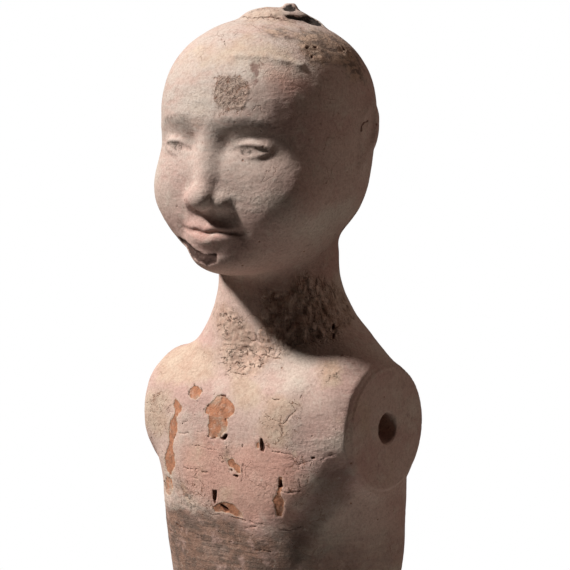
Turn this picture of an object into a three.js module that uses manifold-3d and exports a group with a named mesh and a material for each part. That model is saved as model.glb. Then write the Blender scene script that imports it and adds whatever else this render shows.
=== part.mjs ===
import * as THREE from "three";
import Module from "manifold-3d";

const wasm = await Module();
wasm.setup();

// Driving sizes, mm
const figureHeight = 600;
const baseHeight = 14;
const baseWidth = 116;
const baseDepth = 112;
const baseCorner = 16;
const baseEdge = 3;
const baseForward = 10;
const armFaceSpan = 98;
const armFaceDiameter = 48;
const armFaceEdge = 0.8;
const boreDiameter = 12;
const armCentreHeight = 440;
const armCentreBack = 4;
const eyeAcross = 16;
const eyeHeight = 547;

// The figure's form is given in parts, one six-hundredth of its standing height.
// In the form z is measured from the soles, x to the figure's left and y to its back.
const part = figureHeight / 600;
const armFaceAt = armFaceSpan / 2 / part;
const armRadius = armFaceDiameter / 2 / part;
const armHeight = armCentreHeight / part;
const armBack = armCentreBack / part;
const eyePlace = eyeAcross / part;
const eyeLevel = eyeHeight / part;

// Trunk and neck: height, half width, depth in front, depth behind, middle, squareness
const trunkRows = [
  [262, 42, 24, 28, 4, 2.3],
  [285, 49, 29, 33, 4, 2.4],
  [308, 51, 30, 33, 4, 2.5],
  [335, 47, 30, 29, 4, 2.3],
  [360, 44.5, 31, 31.5, 5, 2.3],
  [385, 47, 33, 35, 5.2, 2.5],
  [400, 48, 33.5, 33.5, 5, 2.7],
  [415, 48.2, 34, 33.5, 5, 2.8],
  [430, 48, 32, 33.5, 5, 2.7],
  [448, 46.5, 28.5, 31, 5, 2.8],
  [460, 43, 25.5, 28, 4.5, 2.4],
  [470, 37, 22.5, 26, 3.5, 2.3],
  [480, 29.5, 21, 24.5, 2, 2.1],
  [490, 25, 20.5, 24, 1, 2.0],
  [505, 23.6, 20.5, 24, 0, 2.0],
  [525, 23.6, 20.5, 24, 0, 2.0],
];

// Leg: height, sideways place, half width, depth in front, depth behind, middle
const legRows = [
  [-10, 23, 12, 15, 17, 7],
  [8, 23, 12, 15, 17, 7],
  [22, 23, 11.5, 13, 14.5, 7],
  [36, 23, 10.5, 11.5, 13, 7],
  [56, 23, 11.5, 11.5, 13, 7],
  [85, 23.5, 14, 13, 17, 6],
  [115, 24.2, 15.8, 14.5, 19.5, 6],
  [140, 24, 15, 15.5, 16, 4.5],
  [160, 24, 15.8, 17, 15.5, 3.5],
  [185, 24.2, 17, 17.5, 17.5, 4],
  [220, 24.8, 19.5, 21, 21, 4],
  [260, 25.2, 22, 24.5, 25, 4.5],
  [290, 25, 23.5, 26, 27, 5],
  [310, 24.5, 20, 22, 22, 5],
];

// Foot: place from toe to heel, sideways place, half width, height
const footRows = [
  [-60, 28.5, 11, 6],
  [-52, 28, 14.5, 8.5],
  [-40, 27, 16, 12],
  [-24, 25.5, 15, 18],
  [-6, 24, 13, 24],
  [8, 23, 12, 22],
  [20, 23, 11, 18],
];

// Middle of the rays that find the skin, by height
const spineRows = [
  [262, 4],
  [330, 4],
  [400, 5],
  [460, 4],
  [490, 1],
  [512, -5],
  [560, -5],
  [600, -5],
];

function clamp(value, low, high) {
  return Math.min(Math.max(value, low), high);
}

// Smooth values between the rows of a table whose first column is the place
function along(place, rows) {
  const last = rows.length - 1;
  const at = clamp(place, rows[0][0], rows[last][0]);
  let i = 0;
  while (i < last - 1 && at > rows[i + 1][0]) {
    i += 1;
  }
  const step = rows[i + 1][0] - rows[i][0];
  const t = (at - rows[i][0]) / step;
  const values = [];
  for (let c = 1; c < rows[0].length; c += 1) {
    const a = rows[i][c];
    const b = rows[i + 1][c];
    const slopeA = slope(rows, i, c);
    const slopeB = slope(rows, i + 1, c);
    const startShare = (1 + 2 * t) * (1 - t) ** 2;
    const endShare = t * t * (3 - 2 * t);
    const startTurn = t * (1 - t) ** 2 * step * slopeA;
    const endTurn = t * t * (t - 1) * step * slopeB;
    values.push(startShare * a + endShare * b + startTurn + endTurn);
  }
  return values;
}

function slope(rows, i, c) {
  const last = rows.length - 1;
  if (i === 0) {
    return (rows[1][c] - rows[0][c]) / (rows[1][0] - rows[0][0]);
  }
  if (i === last) {
    return (rows[last][c] - rows[last - 1][c]) / (rows[last][0] - rows[last - 1][0]);
  }
  const below = rows[i][0] - rows[i - 1][0];
  const above = rows[i + 1][0] - rows[i][0];
  const slopeBelow = (rows[i][c] - rows[i - 1][c]) / below;
  const slopeAbove = (rows[i + 1][c] - rows[i][c]) / above;
  return (slopeBelow * above + slopeAbove * below) / (below + above);
}

// Fields are negative inside the clay. A smooth union leaves a fillet of the given size.
function blend(a, b, size) {
  const share = clamp(0.5 + (0.5 * (b - a)) / size, 0, 1);
  return b + (a - b) * share - size * share * (1 - share);
}

function both(a, b, size) {
  return -blend(-a, -b, size);
}

function carve(a, b, size) {
  return -blend(-a, b, size);
}

function bump(offset, width) {
  return Math.exp(-((offset / width) ** 2));
}

function stepUp(offset, width) {
  return 1 / (1 + Math.exp(clamp(-offset / width, -40, 40)));
}

function ellipsoid(x, y, z, centre, radii) {
  const qx = (x - centre[0]) / radii[0];
  const qy = (y - centre[1]) / radii[1];
  const qz = (z - centre[2]) / radii[2];
  const reach = Math.hypot(qx, qy, qz);
  const steepness = Math.hypot(qx / radii[0], qy / radii[1], qz / radii[2]);
  return (reach * (reach - 1)) / Math.max(steepness, 1e-6);
}

function squareEllipsoid(x, y, z, centre, radii, power) {
  const qx = Math.abs((x - centre[0]) / radii[0]) ** power;
  const qy = Math.abs((y - centre[1]) / radii[1]) ** power;
  const qz = Math.abs((z - centre[2]) / radii[2]) ** power;
  return ((qx + qy + qz) ** (1 / power) - 1) * Math.min(...radii);
}

function rod(x, y, z, start, end, startRadius, endRadius) {
  const d = [end[0] - start[0], end[1] - start[1], end[2] - start[2]];
  const square = d[0] ** 2 + d[1] ** 2 + d[2] ** 2;
  const dot = (x - start[0]) * d[0] + (y - start[1]) * d[1] + (z - start[2]) * d[2];
  const t = clamp(dot / square, 0, 1);
  const gap = Math.hypot(x - start[0] - t * d[0], y - start[1] - t * d[1], z - start[2] - t * d[2]);
  return gap - (startRadius + t * (endRadius - startRadius));
}

function section(x, y, half, front, back, middle, power) {
  const depth = y < middle ? front : back;
  const reach = (Math.abs(x / half) ** power + Math.abs((y - middle) / depth) ** power) ** (1 / power);
  return (reach - 1) * Math.min(half, depth);
}

function trunk(x, y, height) {
  // the left shoulder is carried a little higher than the right
  const z = height - 0.08 * x * clamp((height - 446) / 18, 0, 1);
  const [half, front, back, middle, power] = along(z, trunkRows);
  const side = Math.abs(x);
  let f = section(x, y, half, front, back, middle, power);
  // the left side of the belly falls away
  const below = z - 385;
  const fallen = 34.5 + (below > 0 ? 0.012 : 0.004) * below ** 2;
  f = both(f, 0.743 * x - 0.669 * y - fallen, 12);
  f = both(f, 266 - z, 10);
  f = both(f, z - 522, 4);
  // chest, its lower edge rising towards the arms
  const tilted = z - 0.32 * Math.max(side - 12, 0);
  f = blend(f, squareEllipsoid(x, y, tilted, [0, -14.5, 433], [45, 15.2, 23], 2.8), 9);
  // shoulder blades
  f = blend(f, ellipsoid(side, y, z, [22, 27, 438], [17, 10, 20]), 10);
  // buttocks
  f = blend(f, ellipsoid(side, y, z, [22, 20, 290], [23, 21, 24]), 8);
  // belly
  f = blend(f, ellipsoid(x, y, z, [0, -17, 335], [30, 13.5, 30]), 12);
  // shoulder caps
  f = blend(f, ellipsoid(side, y, z, [33, 2, 449], [16, 19, 18]), 8);
  return f;
}

function leg(x, y, z) {
  const [place, half, front, back, middle] = along(z, legRows);
  const side = Math.abs(x);
  let f = section(side - place, y, half, front, back, middle, 2.15);
  f = both(f, z - 305, 6);
  f = both(f, -6 - z, 2);
  // knee
  f = blend(f, ellipsoid(side, y, z, [24, -9, 161], [11, 7, 11]), 5);
  // ankle bones
  f = blend(f, ellipsoid(side, y, z, [32.5, 8, 25], [3, 4, 5]), 4);
  f = blend(f, ellipsoid(side, y, z, [13.5, 5, 27], [3, 4, 5]), 4);
  return f;
}

function foot(x, y, z) {
  const [place, half, height] = along(y, footRows);
  const across = Math.abs(x) - place;
  const rise = Math.max(z + 4, 0) / (height + 4);
  const reach = (Math.abs(across / half) ** 2.3 + rise ** 2.3) ** (1 / 2.3);
  let f = (reach - 1) * Math.min(half, height);
  f = both(f, -56 - y, 7);
  f = both(f, y - 20, 8);
  f = both(f, -6 - z, 2);
  // grooves between the toes
  const toe = across / 6.2;
  const groove = 1.6 * bump(toe - Math.round(toe - 0.5) - 0.5, 0.16);
  return f + groove * clamp((-40 - y) / 6, 0, 1);
}

function skull(x, y, z) {
  const side = Math.abs(x);
  let f = squareEllipsoid(x, y, z, [0, -5, 556.5], [39.3, 40.6, 38], 2.25);
  // back of the head above the nape
  f = blend(f, ellipsoid(x, y, z, [0, 0.6, 535], [36.3, 31.6, 28]), 6);
  // front of the head, jaw, cheeks and chin
  f = blend(f, ellipsoid(x, y, z, [0, -13, 532], [36.5, 31.5, 33]), 10);
  f = blend(f, ellipsoid(x, y, z, [0, -14, 516], [28, 27, 16.5]), 8);
  f = blend(f, ellipsoid(side, y, z, [19, -26, 529], [16, 14, 15]), 8);
  f = blend(f, ellipsoid(x, y, z, [0, -31.5, 507.5], [14, 12, 8.5]), 6);
  return f;
}

// How far the carving of the face stands out from the head
function faceRelief(x, z) {
  const side = Math.abs(x);
  const fromEye = side - eyePlace;
  const aboveEye = z - eyeLevel;
  // sockets, inner corners and brows
  let h = -2.7 * bump(fromEye + 0.5, 12) * bump(aboveEye - 1.5, 7.5);
  h -= 1.6 * bump(side - 7.5, 4) * bump(aboveEye - 1, 5);
  const brow = eyeLevel + 11 - 0.012 * (side - 11) ** 2;
  h += 0.9 * bump(z - brow, 3.6) * bump(side - 14, 13);
  // mouth
  h += 1.7 * bump(x, 17) * bump(z - 514.5, 10.5);
  const lip = clamp(1 - (side / 13.5) ** 2, 0, 1) ** 0.7;
  const line = 515.6 - 0.35 * bump(x, 3) + 0.25 * bump(side - 5, 3) + 0.0025 * x * x;
  const upper = line + 2.2 - 0.5 * bump(x, 2) - 0.011 * x * x;
  const lower = line - 2.7 + 0.012 * x * x;
  h += 1.0 * bump(z - upper, 1.9) * lip;
  h += 1.3 * bump(z - lower, 2.4) * lip * bump(x, 13);
  h -= 1.0 * bump(z - line, 0.9) * stepUp(13 - side, 0.8);
  h -= 0.6 * bump(side - 13.8, 3) * bump(z - 515.8, 3);
  // hollow under the nose, hollow over the chin, folds beside the mouth
  h -= 0.5 * bump(x, 1.7) * bump(z - 521.5, 2.4);
  h -= 0.9 * bump(x, 10) * bump(z - 507.8, 2.8);
  const fold = 10.5 + (524 - z) * 0.42;
  h -= 0.35 * bump(side - fold, 3.2) * bump(z - 520.5, 6);
  return h;
}

function eyes(x, y, z) {
  const side = Math.abs(x);
  const fromEye = side - eyePlace;
  const slant = z - eyeLevel - 0.06 * fromEye;
  const arch = clamp(1 - (fromEye / 8.3) ** 2, 0, 1);
  const top = 1.9 * arch - 0.6;
  const bottom = -1.5 * arch - 0.6;
  let f = ellipsoid(side, y, z, [eyePlace, -32, eyeLevel + 0.3], [10.4, 9.6, 7.4]);
  const opened = stepUp(top - slant, 0.28) * stepUp(slant - bottom, 0.28);
  f += 0.75 * opened * stepUp(8.3 - Math.abs(fromEye), 0.4);
  // lids
  f -= 0.35 * bump(slant - top - 0.9, 0.8) * clamp(arch * 2, 0, 1);
  f -= 0.25 * bump(slant - bottom + 0.9, 0.8) * clamp(arch * 2, 0, 1);
  f += 0.45 * bump(slant - 4.4 * arch - 0.4, 0.8) * clamp(arch * 3, 0, 1);
  return f;
}

function nose(x, y, z) {
  const side = Math.abs(x);
  let f = rod(x, y, z, [0, -38.6, 554], [0, -45.6, 530], 3.8, 5);
  f = blend(f, ellipsoid(x, y, z, [0, -46.9, 528.8], [5.4, 5.4, 4.8]), 2.5);
  f = blend(f, ellipsoid(side, y, z, [6.4, -42.6, 527.4], [3.9, 5.2, 3.9]), 2.6);
  f = carve(f, ellipsoid(side, y, z, [3.5, -46.2, 523.6], [1.7, 2.6, 1.5]), 1);
  return f;
}

function ear(x, y, z) {
  const side = Math.abs(x);
  const lean = y - 0.12 * (z - 551);
  let f = ellipsoid(side, lean, z, [36.4, 6, 553], [3.6, 8.5, 12]);
  f = blend(f, ellipsoid(side, lean, z, [36, 3, 541], [3.2, 4.5, 5]), 3);
  f = carve(f, ellipsoid(side, lean, z, [40.6, 4.8, 553], [3.2, 5, 7.8]), 1.2);
  return f;
}

function topknot(x, y, z) {
  let f = squareEllipsoid(x, y, z, [1, -2.5, 590.5], [13.2, 13, 7.6], 2.5);
  f = blend(f, ellipsoid(x, y, z, [6, 4, 588.5], [12, 10.5, 6.8]), 1.2);
  // broken end that stands up
  return blend(f, ellipsoid(x, y, z, [5.2, 1.3, 596.4], [3.4, 3, 3.8]), 1);
}

function shoulders(x, y, z) {
  const side = Math.abs(x);
  const reach = Math.hypot(y - armBack, z - armHeight);
  let f = reach - (armRadius - 0.1 + 0.1 * (armFaceAt - side));
  f = both(f, side - (armFaceAt - 0.9), 0.8);
  f = both(f, 20 - side, 0.8);
  return f;
}

function head(x, y, z) {
  let f = skull(x, y, z);
  f -= 0.9 * faceRelief(x, z) * clamp((-18 - y) / 10, 0, 1);
  f = blend(f, eyes(x, y, z), 1.4);
  f = blend(f, nose(x, y, z), 3.5);
  f = blend(f, ear(x, y, z), 1.5);
  f = blend(f, topknot(x, y, z), 1.5);
  return f;
}

function upperBody(x, y, z) {
  const side = Math.abs(x);
  const front = clamp((-10 - y) / 5, 0, 1);
  let f = blend(trunk(x, y, z), shoulders(x, y, z), 5);
  f = both(f, side - (armFaceAt - 0.5), 0.8);
  f = blend(f, head(x, y, z), 4);
  // middle line of the back, cleft below it, navel
  const backLine = clamp((y - 10) / 10, 0, 1) * clamp((z - 320) / 20, 0, 1) * clamp((458 - z) / 20, 0, 1);
  f += 1.6 * bump(x, 4) * backLine;
  f += 3.5 * bump(x, 2.5) * clamp((y - 15) / 8, 0, 1) * bump(z - 286, 20);
  f += 2.2 * bump(x, 2.2) * front * bump(z - 351, 2.4);
  // pit of the neck and collar bones
  f += 1.2 * bump(x, 6) * bump(z - 467, 6) * front;
  const bone = 466 + 0.1 * (side - 8);
  const boneEnds = clamp((side - 4) / 4, 0, 1) * clamp((36 - side) / 8, 0, 1);
  f -= 0.45 * bump(z - bone, 3.4) * boneEnds * front;
  return f;
}

function hips(x, y, z) {
  return blend(upperBody(x, y, z), leg(x, y, z), 6);
}

// Farthest crossing of the skin along a ray
function skinAt(field, origin, direction, reach) {
  const step = 1.5;
  const at = (t) => field(
    origin[0] + direction[0] * t,
    origin[1] + direction[1] * t,
    origin[2] + direction[2] * t,
  );
  let inside = reach;
  while (inside > 0 && at(inside) > 0) {
    inside -= step;
  }
  let outside = inside + step;
  for (let i = 0; i < 12; i += 1) {
    const middle = (inside + outside) / 2;
    if (at(middle) > 0) {
      outside = middle;
    } else {
      inside = middle;
    }
  }
  return origin.map((value, i) => value + direction[i] * inside);
}

// Closes rings of equal length, low end first, with a point at each end; rings run anticlockwise from above
function closedLoft(rings, lowEnd, highEnd) {
  const count = rings[0].length;
  const points = [...rings.flat(), lowEnd, highEnd];
  const low = points.length - 2;
  const high = points.length - 1;
  const corners = [];
  for (let c = 0; c < count; c += 1) {
    const next = (c + 1) % count;
    const top = (rings.length - 1) * count;
    corners.push(low, next, c);
    corners.push(high, top + c, top + next);
    for (let r = 0; r < rings.length - 1; r += 1) {
      const a = r * count + c;
      const b = r * count + next;
      const d = a + count;
      const e = b + count;
      if ((r + c) % 2 === 0) {
        corners.push(a, b, e, a, e, d);
      } else {
        corners.push(a, b, d, b, e, d);
      }
    }
  }
  return { points, corners };
}

function solidOf({ points, corners }) {
  const place = (p) => [p[0] * part, p[1] * part + baseForward, p[2] * part + baseHeight];
  const vertProperties = new Float32Array(points.flatMap(place));
  const triVerts = new Uint32Array(corners);
  return new wasm.Manifold(new wasm.Mesh({ numProp: 3, vertProperties, triVerts }));
}

// Head, neck and trunk in one: fans at the crown and the crotch, level rows between
function upperBodySolid() {
  const columns = 44;
  const rays = [];
  const lowest = 297;
  // the lowest end lies inside the hips, where the legs' solids make the skin
  rays.push([lowest, -15, 22]);
  for (let z = lowest; z < 402; z += 11.5) {
    rays.push([z, 0]);
  }
  for (let z = 409; z < 476; z += 6.4) {
    rays.push([z, 0]);
  }
  // under the jaw the rays turn downwards
  rays.push([487, -14], [494, -26], [501, -34], [505, -30], [507, -20], [509, -10]);
  for (let z = 508.5; z < 533; z += 2.05) {
    rays.push([z, 0]);
  }
  for (let z = 533.5; z < 556; z += 2.5) {
    rays.push([z, 0]);
  }
  for (let tilt = 0; tilt < 60; tilt += 7) {
    rays.push([557, tilt]);
  }
  for (let tilt = 62; tilt < 88; tilt += 5) {
    rays.push([557, tilt]);
  }
  const rings = rays.map(([height, tilt, reach]) => {
    const [middle] = along(height, spineRows);
    const rise = (tilt * Math.PI) / 180;
    const crowding = 0.5 * clamp((height - 480) / 30, 0, 1) * clamp((95 - tilt) / 60, 0, 1);
    const ring = [];
    for (let c = 0; c < columns; c += 1) {
      const turn = ((c + 0.5) / columns) * 2 * Math.PI;
      const angle = turn - crowding * Math.sin(turn) - Math.PI / 2;
      const direction = [
        Math.cos(rise) * Math.cos(angle),
        Math.cos(rise) * Math.sin(angle),
        Math.sin(rise),
      ];
      const field = height < 330 ? hips : upperBody;
      ring.push(skinAt(field, [0, middle, height], direction, reach ?? 80));
    }
    return ring;
  });
  const [lowMiddle] = along(lowest, spineRows);
  const low = [0, lowMiddle, lowest - 12];
  const high = skinAt(upperBody, [0, -5, 557], [0, 0, 1], 60);
  return solidOf(closedLoft(rings, low, high));
}

// One leg with the half of the hips above it, so that the skin runs on from thigh to trunk
function legSolid(sign) {
  const columns = 20;
  // above the crotch each solid runs on past the middle
  const hip = (x, y, z) => both(hips(x, y, z), -x * sign - (z > 280 ? 8 : 1), 1);
  const heights = [-5, 7, 15, 21, 28, 39, 56, 78, 100, 120, 136, 148, 155, 162, 172, 190, 216, 242, 259, 271, 281, 290, 299];
  const rings = heights.map((z) => {
    const [place, half, front, back, middle] = along(z, legRows);
    const ring = [];
    for (let c = 0; c < columns; c += 1) {
      const angle = (c / columns) * 2 * Math.PI;
      const direction = [Math.cos(angle), Math.sin(angle), 0];
      ring.push(skinAt(hip, [sign * place, middle, z], direction, Math.max(half, front, back) + 12));
    }
    return ring;
  });
  const [lowPlace, , , , lowMiddle] = along(-5, legRows);
  const [highPlace, , , , highMiddle] = along(304, legRows);
  return solidOf(closedLoft(rings, [sign * lowPlace, lowMiddle, -5], [sign * highPlace, highMiddle, 304]));
}

// The foot's rings stand upright and run from the heel to the toes
function footSolid(sign) {
  const columns = 16;
  const places = [26, 22, 16, 8, -2, -12, -22, -31, -38, -44, -49, -53, -57, -60];
  const oneFoot = (x, y, z) => foot(Math.max(x * sign, 0.01), y, z);
  const rings = places.map((y) => {
    const [place] = along(y, footRows);
    const ring = [];
    for (let c = 0; c < columns; c += 1) {
      const angle = ((c + 0.5) / columns) * 2 * Math.PI;
      const direction = [Math.cos(angle), 0, Math.sin(angle)];
      ring.push(skinAt(oneFoot, [sign * place, y, 0.5], direction, 60));
    }
    return ring;
  });
  return solidOf(closedLoft(rings, [sign * 23, 27, 0.5], [sign * 28.5, -61, 0.5]));
}

// Round stub whose flat end is the face an arm was fixed against
function armFaceSolid(sign) {
  const segments = 48;
  const profile = [
    [20, armRadius],
    [armFaceAt - armFaceEdge, armRadius],
    [armFaceAt - 0.3 * armFaceEdge, armRadius - 0.3 * armFaceEdge],
    [armFaceAt, armRadius - armFaceEdge],
  ];
  const rings = profile.map(([along, radius]) => {
    const ring = [];
    for (let c = 0; c < segments; c += 1) {
      const angle = (sign * c * 2 * Math.PI) / segments;
      ring.push([sign * along, armBack + radius * Math.cos(angle), armHeight + radius * Math.sin(angle)]);
    }
    return ring;
  });
  return solidOf(closedLoft(rings, [sign * 20, armBack, armHeight], [sign * armFaceAt, armBack, armHeight]));
}

function boreSolid() {
  const segments = 40;
  const radius = boreDiameter / 2 / part;
  const end = armFaceAt + 8;
  const rings = [-end, end].map((x) => {
    const ring = [];
    for (let c = 0; c < segments; c += 1) {
      const angle = (c * 2 * Math.PI) / segments;
      ring.push([x, armBack + radius * Math.cos(angle), armHeight + radius * Math.sin(angle)]);
    }
    return ring;
  });
  return solidOf(closedLoft(rings, [-end, armBack, armHeight], [end, armBack, armHeight]));
}

// Low slab with round corners and softened edges, in mm from the middle of its underside
function baseSolid() {
  const cornerSteps = 8;
  const soften = baseEdge * (1 - Math.SQRT1_2);
  const levels = [
    [baseEdge, 0],
    [soften, soften],
    [0, baseEdge],
    [0, baseHeight - baseEdge],
    [soften, baseHeight - soften],
    [baseEdge, baseHeight],
  ];
  const rings = levels.map(([inset, height]) => {
    const ring = [];
    for (let corner = 0; corner < 4; corner += 1) {
      const sideX = corner === 0 || corner === 3 ? 1 : -1;
      const sideY = corner < 2 ? 1 : -1;
      for (let s = 0; s <= cornerSteps; s += 1) {
        const angle = ((corner + s / cornerSteps) * Math.PI) / 2;
        const x = sideX * (baseWidth / 2 - baseCorner) + (baseCorner - inset) * Math.cos(angle);
        const y = sideY * (baseDepth / 2 - baseCorner) + (baseCorner - inset) * Math.sin(angle);
        ring.push([x / part, (y - baseForward) / part, (height - baseHeight) / part]);
      }
    }
    return ring;
  });
  const middle = -baseForward / part;
  return solidOf(closedLoft(rings, [0, middle, -baseHeight / part], [0, middle, 0]));
}

function clayFigureSolid() {
  let solid = upperBodySolid();
  for (const sign of [-1, 1]) {
    const lower = legSolid(sign).add(footSolid(sign));
    solid = solid.add(lower).add(armFaceSolid(sign));
  }
  return solid.add(baseSolid()).subtract(boreSolid());
}

function geometryOf(solid) {
  const mesh = solid.getMesh();
  const places = new Float32Array(mesh.numVert * 3);
  for (let i = 0; i < mesh.numVert; i += 1) {
    for (let axis = 0; axis < 3; axis += 1) {
      places[i * 3 + axis] = mesh.vertProperties[i * mesh.numProp + axis];
    }
  }
  const geometry = new THREE.BufferGeometry();
  geometry.setAttribute("position", new THREE.BufferAttribute(places, 3));
  geometry.setIndex(new THREE.BufferAttribute(new Uint32Array(mesh.triVerts), 1));
  geometry.computeVertexNormals();
  return geometry;
}

const figure = new THREE.Mesh(
  geometryOf(clayFigureSolid()),
  new THREE.MeshStandardMaterial({ color: 0xc9a08a, roughness: 0.9, metalness: 0 }),
);
figure.name = "clay_figure";

const object = new THREE.Group();
object.name = "painted_clay_figure";
object.add(figure);

export default object;
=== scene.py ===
import math

import bpy
import numpy as np
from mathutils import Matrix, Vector


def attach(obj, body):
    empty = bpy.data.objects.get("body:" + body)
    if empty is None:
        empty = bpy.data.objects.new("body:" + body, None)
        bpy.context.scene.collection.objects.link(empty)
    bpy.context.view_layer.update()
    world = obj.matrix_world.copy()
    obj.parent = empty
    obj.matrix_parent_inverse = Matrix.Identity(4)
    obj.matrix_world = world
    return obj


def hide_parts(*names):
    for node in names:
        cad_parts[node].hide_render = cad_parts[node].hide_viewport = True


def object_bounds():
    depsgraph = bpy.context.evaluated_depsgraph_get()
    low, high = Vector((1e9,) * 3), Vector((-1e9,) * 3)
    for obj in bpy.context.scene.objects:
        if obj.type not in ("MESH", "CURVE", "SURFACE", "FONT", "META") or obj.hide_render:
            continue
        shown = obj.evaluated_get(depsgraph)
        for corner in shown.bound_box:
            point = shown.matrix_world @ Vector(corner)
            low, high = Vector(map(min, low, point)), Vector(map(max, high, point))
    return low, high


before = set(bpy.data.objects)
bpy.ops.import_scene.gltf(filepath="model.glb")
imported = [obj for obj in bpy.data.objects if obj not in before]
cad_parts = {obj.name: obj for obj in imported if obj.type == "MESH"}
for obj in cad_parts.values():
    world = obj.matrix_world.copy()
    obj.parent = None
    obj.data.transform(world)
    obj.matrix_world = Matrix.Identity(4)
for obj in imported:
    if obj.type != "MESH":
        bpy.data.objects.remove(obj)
cad_low, cad_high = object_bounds()

# The figure's form is written in parts, one six-hundredth of its standing height, which is 1 mm here.
# z is measured from the soles, x to the figure's left and y to its back, as in the solid model.
FIGURE_HEIGHT = 0.600
BASE_HEIGHT = 0.014
BASE_FORWARD = 0.010
PART = FIGURE_HEIGHT / 600
ARM_FACE_AT = 49
ARM_RADIUS = 24
ARM_HEIGHT = 440
ARM_BACK = 4
BORE_RADIUS = 6
EYE_ACROSS = 16
EYE_HEIGHT = 547

# The box and step of the first mesh, in parts. Its edges' share keeps the piece under 200,000 triangles.
# Its edges' share scales the longest edge the mesh may have.
FORM_LOW = (-62, -70, -17)
FORM_HIGH = (62, 50, 604)
GRID_STEP = 3.0
EDGE_SHARE = 1.25
# Heights where the earth on the lower body ends, and below which it thins out
EARTH_EDGE = 405
EARTH_THINS_FROM = 378

# The camera, by azimuth and elevation in degrees, and the picture's frame in metres at the figure
VIEW_AZIMUTH = 36
VIEW_ELEVATION = 7
VIEW_DISTANCE = 1.2
PICTURE_PIXELS = 570
PIXEL = 0.000385
VIEW_AT = Vector((0.0025, 0.0118, 0.5055))
SENSOR_WIDTH = 36

# The studio, in metres
FLOOR_RADIUS = 0.36
FLOOR_CORNERS = 96
FLOOR_LEVEL = -0.0002
SOFT_LAMP_SIZE = 0.9
SOFT_LAMP_DISTANCE = 1.6
SOFT_LAMPS_AIM_AT = 0.42

# Trunk and neck, in parts: height, half width, depth in front, depth behind, middle, squareness
TRUNK = [
    (262, 42, 24, 28, 4, 2.3),
    (285, 49, 29, 33, 4, 2.4),
    (308, 51, 30, 33, 4, 2.5),
    (335, 47, 30, 29, 4, 2.3),
    (360, 44.5, 31, 31.5, 5, 2.3),
    (385, 47, 33, 35, 5.2, 2.5),
    (400, 48, 33.5, 33.5, 5, 2.7),
    (415, 48.2, 34, 33.5, 5, 2.8),
    (430, 48, 32, 33.5, 5, 2.7),
    (448, 46.5, 28.5, 31, 5, 2.8),
    (460, 43, 25.5, 28, 4.5, 2.4),
    (470, 37, 22.5, 26, 3.5, 2.3),
    (480, 29.5, 21, 24.5, 2, 2.1),
    (490, 25, 20.5, 24, 1, 2.0),
    (505, 23.6, 20.5, 24, 0, 2.0),
    (525, 23.6, 20.5, 24, 0, 2.0),
]

# Leg, in parts: height, sideways place, half width, depth in front, depth behind, middle
LEG = [
    (-10, 23, 12, 15, 17, 7),
    (8, 23, 12, 15, 17, 7),
    (22, 23, 11.5, 13, 14.5, 7),
    (36, 23, 10.5, 11.5, 13, 7),
    (56, 23, 11.5, 11.5, 13, 7),
    (85, 23.5, 14, 13, 17, 6),
    (115, 24.2, 15.8, 14.5, 19.5, 6),
    (140, 24, 15, 15.5, 16, 4.5),
    (160, 24, 15.8, 17, 15.5, 3.5),
    (185, 24.2, 17, 17.5, 17.5, 4),
    (220, 24.8, 19.5, 21, 21, 4),
    (260, 25.2, 22, 24.5, 25, 4.5),
    (290, 25, 23.5, 26, 27, 5),
    (310, 24.5, 20, 22, 22, 5),
]

# Foot, in parts, from the toes to the heel: place, sideways place, half width, height
FOOT = [
    (-60, 28.5, 11, 6),
    (-52, 28, 14.5, 8.5),
    (-40, 27, 16, 12),
    (-24, 25.5, 15, 18),
    (-6, 24, 13, 24),
    (8, 23, 12, 22),
    (20, 23, 11, 18),
]

# Worn places, and painted shade, by the picture's pixels as x and y

# Paint and slip flaked away down to the orange clay
BARE_CLAY = [
    [(211, 402), (216, 396), (220, 394.5), (226, 397), (229, 400), (233, 403), (235, 407), (234, 413),
     (229, 417), (226, 418), (227, 424), (226, 431), (223, 433), (220, 436), (214, 437.5), (209, 436),
     (208, 428), (208, 414), (205, 413), (205, 408), (208, 404)],
    [(174, 398), (178, 401), (181, 407), (180, 412), (176, 417), (177, 424), (177, 432), (173, 438),
     (172, 447), (174, 455), (175, 462), (173, 470), (171, 476), (168, 472), (165, 467), (165, 455),
     (167, 447), (168, 440), (167, 432), (168, 423), (171, 417), (174, 411), (172, 405)],
    [(166, 476), (171, 478), (172, 490), (170, 495), (166, 493), (165, 484)],
    [(189, 389), (193, 386), (200, 387), (202, 391), (200, 397), (195, 399.5), (190, 398)],
    [(227, 460), (232, 458), (236, 464), (240, 467), (241, 474), (238, 474), (234, 469), (229, 467)],
    [(230, 503), (236, 506), (242, 513), (243, 517), (236, 516), (229, 513), (222, 512), (214, 512),
     (212, 507), (216, 504), (222, 502)],
    [(279, 476), (282, 477), (281.5, 488), (280, 494), (284, 500), (284, 508), (282, 517), (276, 516),
     (275, 508), (272, 500), (275, 496), (278, 489)],
    [(256.5, 443), (260, 441), (260.5, 448), (257, 448)],
]

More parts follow.
